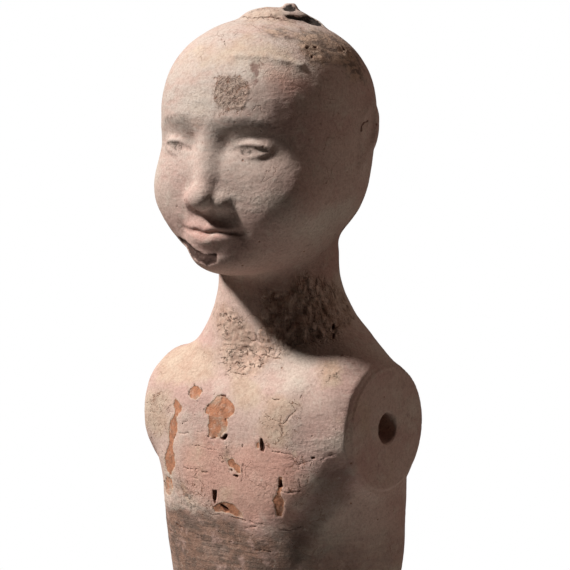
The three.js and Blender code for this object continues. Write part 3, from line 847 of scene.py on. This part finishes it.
def facing(points):
    """How squarely the skin faces the camera, and whether it is on the near side."""
    normal = slope_of(figure, [points[:, i] for i in range(3)])
    normal /= np.maximum(np.linalg.norm(normal, axis=1), 1e-9)[:, None]
    return normal, normal @ to_camera


def deepest(places, outlines):
    return np.max([inside_outline(places, outline) for outline in outlines], axis=0)


def crack_depth(places):
    """How many pixels each place lies inside the nearest crack's edge, below 0 outside it."""
    best = np.full(len(places), -9.0)
    for line, width in CRACKS:
        best = np.maximum(best, width * 0.5 - to_line(places, line))
    return best


def wanted_edge(points):
    """The longest edge the mesh may have, in parts: short where the carving and wear are fine."""
    x, y, z = points.T
    size = np.full(len(points), 4.2)
    size[z > 375] = 2.6
    size[z > 485] = 2.1
    size[(z > 385) & (z < 480) & (y < 0)] = 1.5
    size[z > 582] = 1.3
    front = (z > 498) & (z < 566) & (y < -18)
    size[front] = 1.15
    carved = front & (np.abs(x) < 27) & (z < 560)
    size[carved] = 0.85
    near_ear = (np.abs(x) > 33) & (np.abs(z - 551) < 16) & (np.abs(y - 5) < 14)
    size[near_ear] = np.minimum(size[near_ear], 1.1)
    reach = np.hypot(y - ARM_BACK, z - ARM_HEIGHT)
    rim = (np.abs(x) > 46.5) & ((np.abs(reach - ARM_RADIUS) < 1.8) | (np.abs(reach - BORE_RADIUS) < 1.5))
    size[rim] = 0.8
    size[(z < 8) & (z > -2) & (y < -40)] = 2.6
    near = points @ to_camera > 0
    near &= (z > 375) & (z < 602)
    if near.any():
        places = in_picture(points[near])
        fine = size[near]
        worn = np.maximum(deepest(places, BARE_CLAY), deepest(places, HOLES))
        fine[np.abs(worn) < 2.5] = 0.75
        fine[deepest(places, HOLES) > -1.8] = 0.5
        fine[crack_depth(places) > -1.2] = 0.55
        rough = (deepest(places, CRUSTS) > -1) | (deepest(places, FLAKY) > -1)
        fine[rough] = np.minimum(fine[rough], 0.75)
        scab = np.hypot(*(places - RING_AT).T) < RING_RADII[1] + 4
        fine[scab] = np.minimum(fine[scab], 0.7)
        crumbs = (deepest(places, CRUMBS) > -1) | (to_line(places, HAIR_EDGE) < 5)
        fine[crumbs] = np.minimum(fine[crumbs], 0.8)
        fine[deepest(places, CHARRED) > -1.5] = 0.8
        size[near] = fine
    return EDGE_SHARE * size


def make_form():
    """The figure's skin as points in parts and triangles."""
    points, quads = surface_net(figure, FORM_LOW, FORM_HIGH, GRID_STEP)
    triangles = np.concatenate([quads[:, [0, 1, 2]], quads[:, [0, 2, 3]]])
    points = settle(figure, points, 3)
    for _ in range(3):
        points, triangles = split_long_edges(points, triangles, wanted_edge)
        points = settle(figure, points, 1)
        points = even_out(points, triangles)
        points = settle(figure, points, 2)
    return points, triangles


def smooth_share(value, low, high):
    t = np.clip((value - low) / (high - low), 0, 1)
    return t * t * (3 - 2 * t)


def wear_of(points):
    """Measures of each kind of wear, and of the painted shade below the breast, at each point, in mm into the
    worn place unless said otherwise.

    rough_noise takes the size of its lumps in parts, and a seed of its own for each use.
    """
    normal, faced = facing(points)
    near = smooth_share(faced, -0.05, 0.12)
    mm = PIXEL * 1000
    places = in_picture(points)
    # ragged outlines
    ragged = np.stack([rough_noise(points, 4.0, 11), rough_noise(points, 4.0, 23)], 1)
    toothed = np.stack([rough_noise(points, 1.5, 13), rough_noise(points, 1.5, 29)], 1)

    def on_near_side(depth, reach):
        depth = np.clip(depth, -reach, reach)
        return np.where(near > 0, depth, FAR_OUTSIDE) * near + FAR_OUTSIDE * (1 - near)

    wear = {}
    for name, (outlines, waver, teeth, reach) in PICTURED_WEAR.items():
        shaky = places + waver * ragged + teeth * toothed
        wear[name] = on_near_side(deepest(shaky, outlines) * mm, reach)
    wear["crack"] = on_near_side(crack_depth(places + 1.0 * ragged + 0.7 * toothed) * mm - 0.08, 4)
    ring = np.hypot(*(places + 3.6 * ragged + 1.2 * toothed - RING_AT).T)
    inner, outer = RING_RADII
    wear["ring"] = on_near_side((outer - ring) * mm, 4)
    rims = np.maximum(bump(ring - outer + 2.4, 1.5), 0.7 * bump(ring - inner, 1.4))
    wear["rim"] = rims * near * smooth_share(rough_noise(points, 3.0, 91), -0.35, 0.1)
    # earth that clings to the body from the ribs down, as a share
    x, _, z = points.T
    waver = (5 + 9 * (1 - near)) * rough_noise(points, 18, 31) + 4.5 * rough_noise(points, 5, 37)
    edge = EARTH_EDGE + waver - 0.06 * (x + 20)
    left = np.maximum(x, 0)
    wear["earth"] = smooth_share(edge - z, -4 - 0.10 * left, 5 + 0.15 * left)
    wear["earth"] *= 1 - 0.6 * smooth_share(x, 12, 34) * smooth_share(z, 340, 372)
    # it thins out in patches down the belly, the back and the legs
    thin = smooth_share(rough_noise(points, 40, 53) + 0.5 * rough_noise(points, 11, 59), -0.35, 0.30)
    thinner = 0.30 + 0.60 * thin * smooth_share(z, -4, 24)
    wear["earth"] *= 1 - smooth_share(EARTH_THINS_FROM - z, 0, 40) * thinner
    # wear of the same kinds round the rest of the figure
    flaked = rough_noise(points, 26, 41) * 0.9 + rough_noise(points, 9, 43) * 0.8 - 0.62
    wear["bare"] = np.maximum(wear["bare"], np.clip(6 * (flaked - 0.42 * near), -4, 4))
    slip = rough_noise(points, 22, 47) - 0.30 - 0.25 * near
    wear["slip"] = np.maximum(wear["slip"], np.clip(9 * slip, -6, 6))
    return wear, normal, near


def lumps(points, size, seed):
    """Round lumps with narrow gaps between them, about -1 to 1."""
    folded = np.abs(rough_noise(points, size, seed)) + 0.6 * np.abs(rough_noise(points, 0.5 * size, seed + 1))
    return 2.4 * np.minimum(folded, 0.7) - 0.85


def worn_places(points):
    """Presses and raises the wear into the skin, by heights in mm."""
    wear, normal, near = wear_of(points)
    x, y, z = points.T
    side = np.abs(x)
    middling = rough_noise(points, 5.0, 5)
    # hand-worked surface, but the arm's faces and the base stay flat
    rounded = smooth_share(ARM_FACE_AT - 0.6 - side, 0, 1.5) * smooth_share(z, 4, 8)
    height = rounded * (0.34 * rough_noise(points, 15, 3) + 0.16 * middling)
    # flaked patches lie a skin's thickness lower, their edges sharp
    for name, (depth, from_edge, to_edge) in PRESSED.items():
        height -= depth * smooth_share(wear[name], from_edge, to_edge)
    # lifted lips beside the cracks
    lip = smooth_share(wear["crack"], -0.8, -0.3) * (1 - smooth_share(wear["crack"], -0.3, -0.1))
    height += 0.10 * lip * smooth_share(middling, -0.2, 0.3)
    # rough crust, plates of slip that curl at their edges, crumbs and broken paint
    crust = 0.60 * lumps(points * np.array([1, 1, 0.6]), 3.4, 61) + 0.34 * rough_noise(points, 1.5, 67)
    height += smooth_share(wear["crust"], -1.5, 2.5) * (0.10 + crust)
    plates = 0.36 * lumps(points * np.array([0.8, 0.8, 1.2]), 4.4, 63) + 0.22 * rough_noise(points, 1.5, 69)
    height += smooth_share(wear["flaky"], -0.5, 2.5) * (0.05 + plates)
    height += smooth_share(wear["crumbs"], -0.5, 1.2) * 0.30 * lumps(points, 2.2, 77)
    broken = 0.17 * lumps(points, 2.6, 71) + 0.12 * rough_noise(points, 1.2, 75)
    height += smooth_share(wear["ring"], -0.5, 1.2) * broken + 0.30 * wear["rim"]
    height += 0.75 * near * bump(to_line(in_picture(points), HAIR_EDGE), 3.0) * (0.75 + 0.5 * middling)
    # the breast is full up to the arm's face
    fuller = smooth_share(side, 37, 46) - 0.9 * bump(side - 33, 6.5)
    height += fuller * smooth_share(z, 424, 436) * (1 - smooth_share(z, 454, 466)) * smooth_share(-y, 8, 15)
    # broken ends
    height -= smooth_share(wear["chip"], -0.2, 0.6) * (0.5 + 0.4 * rough_noise(points, 2.0, 73))
    height -= smooth_share(wear["charred"], -0.2, 0.5) * (0.6 + 0.6 * rough_noise(points, 2.4, 79))
    # scratches that run round the body below the ribs
    strokes = rough_noise(points * np.array([0.10, 0.10, 1.0]), 1.3, 83)
    height += 0.11 * wear["earth"] * smooth_share(z, 300, 340) * strokes
    moved = points + normal * (rounded * height)[:, None]
    low, high = in_parts(np.array([cad_low, cad_high]))
    return np.clip(moved, low, high), wear


def face_paint(points):
    """Traces of grey pigment on the brows, the lids' edges and the eyes, and of red on the lips."""
    x, y, z = points.T
    front = smooth_share(-18 - y, 0, 4)
    side = np.abs(x)
    brow = EYE_HEIGHT + 11.3 - 0.012 * (side - 11) ** 2
    brows = bump(z - brow, 1.5) * smooth_share(side, 6, 9) * (1 - smooth_share(side, 23, 28))
    from_eye, slant, arch, top, bottom = eye_opening(x, z)
    lids = bump(slant - top, 0.55) * np.clip(arch * 3, 0, 1)
    iris = (1 - smooth_share(np.hypot(from_eye, slant - 0.2), 2.2, 2.7))
    iris = iris * step_up(top - slant, 0.2) * step_up(slant - bottom, 0.2)
    line = 515.6 + 0.0025 * x * x
    lips = bump(z - line, 2.8) * np.clip(1 - (side / 13.5) ** 2, 0, 1) ** 0.5
    dark = np.maximum(np.maximum(0.6 * brows, 0.8 * lids), iris) * front
    return dark, lips * front


def add_object(name, data):
    thing = bpy.data.objects.new(name, data)
    bpy.context.scene.collection.objects.link(thing)
    return thing


def make_figure():
    points, triangles = make_form()
    moved, wear = worn_places(points)
    dark, lips = face_paint(points)
    mesh = bpy.data.meshes.new("clay_figure_skin")
    mesh.from_pydata(in_metres(moved).tolist(), [], triangles.tolist())
    mesh.shade_smooth()
    for name, values in {**wear, "pigment": dark, "lips": lips}.items():
        layer = mesh.attributes.new(name, "FLOAT", "POINT")
        layer.data.foreach_set("value", np.ascontiguousarray(values, np.float32))
    mesh.update()
    return add_object("clay_figure_skin", mesh)


class Nodes:
    """Short ways to add and join a material's nodes."""

    def __init__(self, name):
        self.material = bpy.data.materials.new(name)
        self.material.use_nodes = True
        self.tree = self.material.node_tree
        self.tree.nodes.clear()
        self.places = self.add("ShaderNodeTexCoord").outputs["Object"]

    def add(self, kind, inputs=(), **settings):
        """A node with these settings, and with values or other nodes' outputs at its inputs."""
        node = self.tree.nodes.new(kind)
        for key, value in settings.items():
            setattr(node, key, value)
        for key, value in dict(inputs).items():
            if isinstance(value, bpy.types.NodeSocket):
                self.tree.links.new(value, node.inputs[key])
            else:
                node.inputs[key].default_value = value
        return node

    def measure(self, name):
        return self.add("ShaderNodeAttribute", attribute_name=name).outputs["Fac"]

    def math(self, operation, a, b, clamp=False):
        return self.add("ShaderNodeMath", {0: a, 1: b}, operation=operation, use_clamp=clamp).outputs[0]

    def times(self, a, b):
        return self.math("MULTIPLY", a, b)

    def plus(self, a, b):
        return self.math("ADD", a, b)

    def swing(self, noise, amount):
        """The noise to both sides of nothing, times the amount."""
        return self.times(self.math("SUBTRACT", noise, 0.5), amount)

    def share(self, value, low, high, to_low=0.0, to_high=1.0):
        """A smooth step from to_low to to_high as value goes from low to high."""
        inputs = {"Value": value, "From Min": low, "From Max": high, "To Min": to_low, "To Max": to_high}
        return self.add("ShaderNodeMapRange", inputs, interpolation_type="SMOOTHSTEP").outputs[0]

    def stretched(self, x, y, z):
        return self.add("ShaderNodeMapping", {"Vector": self.places, "Scale": (x, y, z)}).outputs[0]

    def noise(self, size_mm, detail=4.0, roughness=0.55, vector=None):
        inputs = {"Vector": vector or self.places, "Scale": 1000 / size_mm}
        inputs.update({"Detail": detail, "Roughness": roughness})
        return self.add("ShaderNodeTexNoise", inputs).outputs["Fac"]

    def patches(self, size_mm, low, high, detail=4.0, roughness=0.7):
        """Patches where noise of this size is high."""
        return self.share(self.noise(size_mm, detail, roughness), low, high)

    def cells(self, size_mm, feature="F1", vector=None):
        inputs = {"Vector": vector or self.places, "Scale": 1000 / size_mm}
        return self.add("ShaderNodeTexVoronoi", inputs, feature=feature).outputs["Distance"]

    def seams(self, size_mm, vector, wide, narrow, patches):
        """Lines between cells, whose width is a share of a cell's, where the patches are."""
        between = self.cells(size_mm, "DISTANCE_TO_EDGE", vector)
        return self.times(self.share(between, wide, narrow), patches)

    def warped(self, size_mm, amount_mm, vector=None):
        """The object's places, pushed about by coloured noise."""
        vector = vector or self.places
        noise = self.add("ShaderNodeTexNoise", {"Vector": vector, "Scale": 1000 / size_mm, "Detail": 3.0})
        pushes = {0: noise.outputs["Color"], 1: (0.5, 0.5, 0.5)}
        middle = self.add("ShaderNodeVectorMath", pushes, operation="SUBTRACT")
        pushes = {0: middle.outputs[0], "Scale": amount_mm * 0.002}
        scaled = self.add("ShaderNodeVectorMath", pushes, operation="SCALE")
        return self.add("ShaderNodeVectorMath", {0: vector, 1: scaled.outputs[0]}, operation="ADD").outputs[0]

    def mix(self, share, a, b, kind="MIX"):
        inputs = {0: share, 6: a, 7: b}
        return self.add("ShaderNodeMix", inputs, data_type="RGBA", blend_type=kind).outputs[2]

    def mottled(self, noise, low, high, a, b):
        """Two colours, the second where the noise is high."""
        return self.mix(self.share(noise, low, high), a, b)

    def finish(self, inputs):
        """The material, with these inputs of its shader."""
        surface = self.add("ShaderNodeBsdfPrincipled", inputs)
        self.add("ShaderNodeOutputMaterial", {"Surface": surface.outputs[0]})
        return self.material


def rgb(red, green, blue):
    """A colour given as the eye sees it, 0 to 255, as the shader's linear values."""
    def linear(value):
        value /= 255
        return value / 12.92 if value <= 0.04045 else ((value + 0.055) / 1.055) ** 2.4
    return (linear(red), linear(green), linear(blue), 1.0)


PINK = rgb(216, 188, 174)
ROSE = rgb(208, 172, 160)
CREAM = rgb(226, 212, 196)
PALE_GREY = rgb(214, 200, 188)
SLIP_BEIGE = rgb(216, 192, 168)
SLIP_GREY = rgb(204, 172, 148)
ORANGE_CLAY = rgb(196, 132, 98)
BROWN_CLAY = rgb(150, 98, 70)
DEEP_BROWN = rgb(52, 24, 12)
SOOT = rgb(38, 32, 28)
EARTH = rgb(152, 119, 101)
EARTH_GREY = rgb(114, 95, 83)
PURPLE_BROWN = rgb(134, 94, 84)
ROSY_PAINT = rgb(224, 166, 146)
CRUST_BROWN = rgb(238, 212, 194)
CRUST_PALE = rgb(216, 188, 164)
CRUST_SHADE = rgb(190, 154, 130)
HOLE_BROWN = rgb(96, 52, 34)
PIGMENT = rgb(92, 80, 72)
LIP_RED = rgb(178, 112, 98)


# How each measure of wear shows as colour: the distances from its edge between which it comes in, how far
# noise moves the edge, and the noise's size, all in mm
EDGES = {
    "rosy": (-5.5, 5.5, 6.0, 7.0),
    "slip": (-2.2, 2.4, 3.2, 4.5),
    "stain": (-2.0, 2.2, 3.4, 3.5),
    "bare": (-0.05, 0.14, 0.45, 1.3),
    "flaky": (-2.0, 2.6, 3.0, 3.5),
    "crumbs": (-0.5, 0.8, 1.4, 1.8),
    "crust": (-1.8, 2.4, 3.0, 3.5),
    "ring": (-1.0, 1.6, 2.2, 2.0),
    "spot": (-0.5, 0.7, 1.5, 1.6),
    "chip": (-0.2, 0.4, 0.9, 1.6),
    "charred": (-0.2, 0.3, 0.9, 1.8),
    "hole": (-0.15, 0.15, 0.35, 0.9),
    "crack": (-0.14, 0.08, 0.34, 0.8),
    "crazed": (-1.0, 1.5, 2.4, 3.0),
    # painted shade with some grime, below the breast
    "shade_and_grime": (-3.0, 3.5, 3.0, 5.0),
}
# The torn slip round the bare clay, by the same four
TORN_EDGE = (-0.60, -0.05, 0.9, 1.6)


class PaintedClay(Nodes):
    """Clay under slip and pink paint, one layer after another. Worn places come from the mesh's measures."""

    def __init__(self):
        super().__init__("painted_clay")
        self.fine = self.noise(1.1, 5.0, 0.6)
        self.grain = self.noise(0.45, 3.0, 0.65)
        self.middling = self.noise(6.0, 5.0, 0.6)
        self.broad = self.noise(24.0, 4.0, 0.55)
        self.broad_too = self.noise(38.0, 3.0, 0.5, self.stretched(1.0, 1.0, 1.6))
        self.wiped = self.noise(3.0, 5.0, 0.6, self.stretched(0.35, 0.35, 1.0))
        self.streaks = self.noise(1.6, 5.0, 0.6, self.stretched(0.12, 0.12, 1.0))
        self.earth = self.measure("earth")
        self.colour = PINK
        self.pressed = []
        self.paint()
        self.slip()
        self.bare_clay()
        self.clinging_earth()
        self.cracked_slip()
        self.crust()
        self.broken_paint()
        self.face()
        self.broken_places()
        self.cracks()
        self.blots()

    def ragged(self, name, edge=None):
        """A worn place's share, its edge broken up by noise."""
        low, high, reach, size_mm = edge or EDGES[name]
        shift = self.swing(self.noise(size_mm, 4.0, 0.65), reach * 2)
        return self.share(self.plus(self.measure(name), shift), low, high)

    def lay(self, colour, *shares, kind="MIX"):
        """Lays a colour over those before, as thick as the product of its shares."""
        share = shares[0]
        for other in shares[1:]:
            share = self.times(share, other)
        self.colour = self.mix(share, self.colour, colour, kind)

    def press(self, share, depth_mm):
        self.pressed.append(self.times(share, depth_mm))

    def paint(self):
        """Mottled pink, and paler and greyer where the head is rubbed. The grey lies mostly on the head's lit
        right side and thins on its shaded left side: partly worn paint, partly painted light.
        """
        self.lay(ROSE, self.share(self.broad, 0.40, 0.62))
        self.lay(CREAM, self.share(self.broad_too, 0.50, 0.68, 0.0, 0.75))
        self.lay(CREAM, self.share(self.middling, 0.50, 0.70, 0.0, 0.45))
        self.lay(ROSE, self.share(self.noise(3.2, 3.0, 0.6), 0.52, 0.72, 0.0, 0.35))
        place = self.add("ShaderNodeSeparateXYZ", {0: self.places}).outputs
        # painted light: the pale grey is full on the lit right side of the head and thins out on the shaded
        # left side, which stays warmer and darker
        paler_on_lit_side = self.share(place["X"], 0.012, 0.030, 1.0, 0.15)
        rubbed_and_lit = self.times(self.share(place["Z"], 0.520, 0.575), paler_on_lit_side)
        self.lay(PALE_GREY, rubbed_and_lit, self.share(self.wiped, 0.36, 0.62, 0.25, 0.75))
        self.lay(ROSY_PAINT, self.ragged("rosy"), 0.58)

    def slip(self):
        """Thin paint worn to beige and grey slip, and stains."""
        colour = self.mottled(self.middling, 0.42, 0.62, SLIP_BEIGE, SLIP_GREY)
        self.lay(colour, self.ragged("slip"), 0.72)
        streaky = self.noise(2.2, 4.0, 0.65, self.stretched(0.5, 0.5, 1.0))
        colour = self.mottled(streaky, 0.42, 0.60, EARTH_GREY, SLIP_GREY)
        self.lay(colour, self.ragged("stain"), 0.85)

    def bare_clay(self):
        """Orange clay inside a torn edge of slip."""
        self.lay(SLIP_BEIGE, self.ragged("bare", TORN_EDGE), 0.50)
        self.bare = self.ragged("bare")
        colour = self.mottled(self.noise(3.0), 0.42, 0.66, ORANGE_CLAY, BROWN_CLAY)
        colour = self.mix(self.share(self.middling, 0.52, 0.68, 0.0, 0.55), colour, SLIP_BEIGE)
        self.lay(colour, self.bare, self.share(self.noise(2.6, 5.0, 0.7), 0.50, 0.64, 0.93, 0.60))
        self.press(self.bare, 0.12)

    def clinging_earth(self):
        """Streaky earth round the lower body."""
        uneven = self.plus(self.times(self.streaks, 0.45), self.times(self.noise(4.5, 5.0, 0.65), 0.55))
        colour = self.mottled(uneven, 0.42, 0.58, EARTH, EARTH_GREY)
        colour = self.mix(self.share(self.middling, 0.52, 0.68, 0.0, 0.55), colour, ROSE)
        patches = self.plus(self.broad, self.times(self.streaks, 0.3))
        self.lay(colour, self.earth, self.share(patches, 0.42, 0.62, 0.45, 0.95))

    def cracked_slip(self):
        """Beige slip cracked into plates, and pale crumbs."""
        flaky = self.ragged("flaky")
        places = self.warped(2.6, 3.4, self.stretched(0.8, 0.8, 1.3))
        seams = self.seams(3.8, places, 0.055, 0.012, self.patches(3.6, 0.50, 0.60))
        seams = self.times(seams, flaky)
        self.lay(self.mottled(self.noise(2.4, 4.0, 0.65), 0.40, 0.62, CRUST_SHADE, CRUST_PALE), flaky, 0.58)
        self.lay(DEEP_BROWN, seams, 0.70)
        self.lay(CREAM, self.ragged("crumbs"), 0.32)
        self.press(seams, 0.45)

    def crust(self):
        self.crusty = self.ragged("crust")
        places = self.warped(2.2, 1.6, self.stretched(1.0, 1.0, 0.5))
        colour = self.mottled(self.noise(2.6, 4.0, 0.65, places), 0.40, 0.62, CRUST_BROWN, CRUST_SHADE)
        gaps = self.seams(2.8, places, 0.12, 0.02, self.patches(3.5, 0.44, 0.60))
        self.lay(self.mix(self.times(gaps, 0.50), colour, BROWN_CLAY), self.crusty, 0.70)
        self.press(self.times(gaps, self.crusty), 0.5)

    def broken_paint(self):
        """The rough ring on the forehead, its rims, and the spot beside it."""
        self.ring = self.ragged("ring")
        colour = self.mottled(self.noise(1.8, 4.0, 0.65), 0.42, 0.6, EARTH, SLIP_GREY)
        patches = self.patches(2.4, 0.44, 0.58)
        gaps = self.seams(2.4, self.warped(1.8, 2.0), 0.10, 0.02, patches)
        self.lay(self.mix(self.times(gaps, 0.8), colour, BROWN_CLAY), self.ring, 0.50)
        self.lay(EARTH, self.measure("rim"), self.share(self.fine, 0.40, 0.60, 0.1, 0.5))
        self.lay(PURPLE_BROWN, self.ragged("spot"), 0.7)
        self.press(self.times(gaps, self.ring), 0.35)

    def face(self):
        worn = self.patches(1.6, 0.38, 0.56)
        self.lay(PIGMENT, self.measure("pigment"), worn, 0.75)
        self.lay(LIP_RED, self.measure("lips"), worn, 0.40)

    def broken_places(self):
        """The dark chip on the jaw, the topknot's blackened ends, and holes."""
        self.lay(DEEP_BROWN, self.ragged("chip"), 0.85)
        self.lay(SOOT, self.ragged("charred"), 0.95)
        colour = self.mottled(self.measure("hole"), 0.1, 0.7, HOLE_BROWN, DEEP_BROWN)
        self.lay(colour, self.ragged("hole"), 0.95)

    def cracks(self):
        """Cracks, with the painted shade in the ear's hollow drawn as one, a web of hairlines here and there,
        crazed paint, and painted shade with some grime below the breast.
        """
        crack = self.ragged("crack")
        crack = self.times(crack, self.share(self.noise(5.0, 3.0, 0.6), 0.36, 0.56, 0.35, 1.0))
        self.lay(self.mix(self.fine, DEEP_BROWN, BROWN_CLAY), crack, 0.80)
        here_and_there = self.patches(17.0, 0.56, 0.66, 3.0, 0.6)
        hair = self.seams(9.0, self.warped(5.0, 2.6), 0.020, 0.007, here_and_there)
        self.lay(BROWN_CLAY, hair, 0.28)
        crazed = self.ragged("crazed")
        crazed = self.times(crazed, self.patches(4.0, 0.46, 0.56))
        net = self.seams(5.5, self.warped(3.2, 4.0), 0.040, 0.012, crazed)
        self.lay(BROWN_CLAY, net, 0.62)
        # painted shade: dark brown laid in the hollow below the breast, with some grime
        self.lay(DEEP_BROWN, self.ragged("shade_and_grime"), 0.46)
        self.press(crack, 0.25)
        self.press(hair, 0.12)
        self.press(net, 0.22)

    def blots(self):
        """Brown patches, small blots darker and paler, pin holes, and earth darkening the fine grain."""
        self.lay(PURPLE_BROWN, self.share(self.noise(6.5, 5.0, 0.72), 0.61, 0.70, 0.0, 0.34))
        blot = self.noise(2.0, 4.0, 0.7)
        self.lay(CREAM, self.share(blot, 0.60, 0.72, 0.0, 0.40))
        self.lay(EARTH, self.share(blot, 0.40, 0.28, 0.0, 0.45))
        speck = self.share(self.cells(3.4), 0.16, 0.09)
        speck = self.times(speck, self.patches(7.0, 0.55, 0.66, 2.0, 0.55))
        self.lay(BROWN_CLAY, speck, 0.6)
        self.press(speck, 0.25)
        self.lay(EARTH, self.share(self.grain, 0.60, 0.40, 0.0, 0.16), kind="MULTIPLY")
        self.lay(EARTH, self.share(self.fine, 0.58, 0.36, 0.0, 0.22), kind="MULTIPLY")

    def relief(self):
        """Relief finer than the mesh, in mm."""
        rough = self.math("ADD", self.crusty, self.plus(self.ring, self.times(self.earth, 0.4)), clamp=True)
        height = self.swing(self.grain, 0.05)
        for raised in (
            self.swing(self.fine, self.share(self.broad_too, 0.40, 0.62, 0.12, 0.30)),
            self.swing(self.middling, 0.34),
            self.swing(self.wiped, self.share(self.broad, 0.42, 0.60, 0.10, 0.45)),
            self.times(self.swing(self.noise(1.3, 5.0, 0.7), 1.1), rough),
            self.swing(self.streaks, self.times(self.earth, 0.36)),
        ):
            height = self.plus(height, raised)
        for lowered in self.pressed:
            height = self.math("SUBTRACT", height, lowered)
        return self.add("ShaderNodeBump", {"Strength": 1.0, "Distance": 0.001, "Height": height}).outputs[0]

    def finished(self):
        roughness = self.share(self.plus(self.fine, self.times(self.bare, 0.2)), 0.35, 0.7, 0.80, 0.96)
        return self.finish({
            "Base Color": self.colour, "Roughness": roughness, "Normal": self.relief(),
            "Specular IOR Level": 0.25,
        })


def pale_floor():
    n = Nodes("pale_floor")
    tone = n.mix(n.noise(60.0, 3.0), rgb(232, 230, 226), rgb(238, 236, 233))
    return n.finish({"Base Color": tone, "Roughness": 0.9})


def make_floor():
    turns = [2 * math.pi * i / FLOOR_CORNERS for i in range(FLOOR_CORNERS)]
    rim = [(FLOOR_RADIUS * math.cos(a), FLOOR_RADIUS * math.sin(a), FLOOR_LEVEL) for a in turns]
    mesh = bpy.data.meshes.new("floor")
    mesh.from_pydata(rim, [], [list(range(FLOOR_CORNERS))])
    mesh.materials.append(pale_floor())
    floor = add_object("floor", mesh)


def towards(azimuth_degrees, elevation_degrees):
    a, e = math.radians(azimuth_degrees), math.radians(elevation_degrees)
    return Vector((math.sin(a) * math.cos(e), -math.cos(a) * math.cos(e), math.sin(e)))


def make_camera():
    camera = add_object("camera", bpy.data.cameras.new("camera"))
    camera.data.sensor_width = SENSOR_WIDTH
    camera.data.lens = SENSOR_WIDTH * VIEW_DISTANCE / (PICTURE_PIXELS * PIXEL)
    camera.data.clip_end = 50
    camera.rotation_mode = "QUATERNION"
    back = Vector(to_camera)
    camera.location = VIEW_AT + back * VIEW_DISTANCE
    camera.rotation_quaternion = (-back).to_track_quat("-Z", "Y")
    bpy.context.scene.camera = camera


def add_lamp(name, kind, power, colour, away):
    """A lamp that shines from the direction away."""
    lamp = add_object(name, bpy.data.lights.new(name, kind))
    lamp.data.energy = power
    lamp.data.color = colour
    lamp.rotation_mode = "QUATERNION"
    lamp.rotation_quaternion = away.to_track_quat("Z", "Y")
    return lamp


def make_lights():
    key = add_lamp("key", "SUN", 5.0, (1.0, 0.99, 0.975), towards(-47, 46))
    key.data.angle = math.radians(7)
    for name, azimuth, elevation, power, colour in (
        ("side", 120, 22, 3.3, (1.0, 0.81, 0.71)),
        ("behind", 205, 30, 1.2, (1.0, 0.92, 0.86)),
    ):
        away = towards(azimuth, elevation)
        lamp = add_lamp(name, "AREA", power, colour, away)
        lamp.data.shape = "DISK"
        lamp.data.size = SOFT_LAMP_SIZE
        lamp.location = Vector((0, 0, SOFT_LAMPS_AIM_AT)) + away * SOFT_LAMP_DISTANCE


def make_world():
    """White behind the object, and a faint warm light on it from all sides."""
    world = bpy.data.worlds.new("studio")
    bpy.context.scene.world = world
    world.use_nodes = True
    tree = world.node_tree
    tree.nodes.clear()
    rays = tree.nodes.new("ShaderNodeLightPath")
    mixed = tree.nodes.new("ShaderNodeMixShader")
    output = tree.nodes.new("ShaderNodeOutputWorld")
    tree.links.new(rays.outputs["Is Camera Ray"], mixed.inputs[0])
    for place, colour, strength in ((1, (1.0, 0.86, 0.80, 1), 0.016), (2, (1, 1, 1, 1), 1.0)):
        light = tree.nodes.new("ShaderNodeBackground")
        light.inputs["Color"].default_value = colour
        light.inputs["Strength"].default_value = strength
        tree.links.new(light.outputs[0], mixed.inputs[place])
    tree.links.new(mixed.outputs[0], output.inputs["Surface"])


make_camera()
make_lights()
make_world()
make_floor()
bpy.context.scene.view_settings.view_transform = "Standard"

skin = make_figure()
skin.data.materials.append(PaintedClay().finished())
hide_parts("clay_figure")
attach(skin, "root")
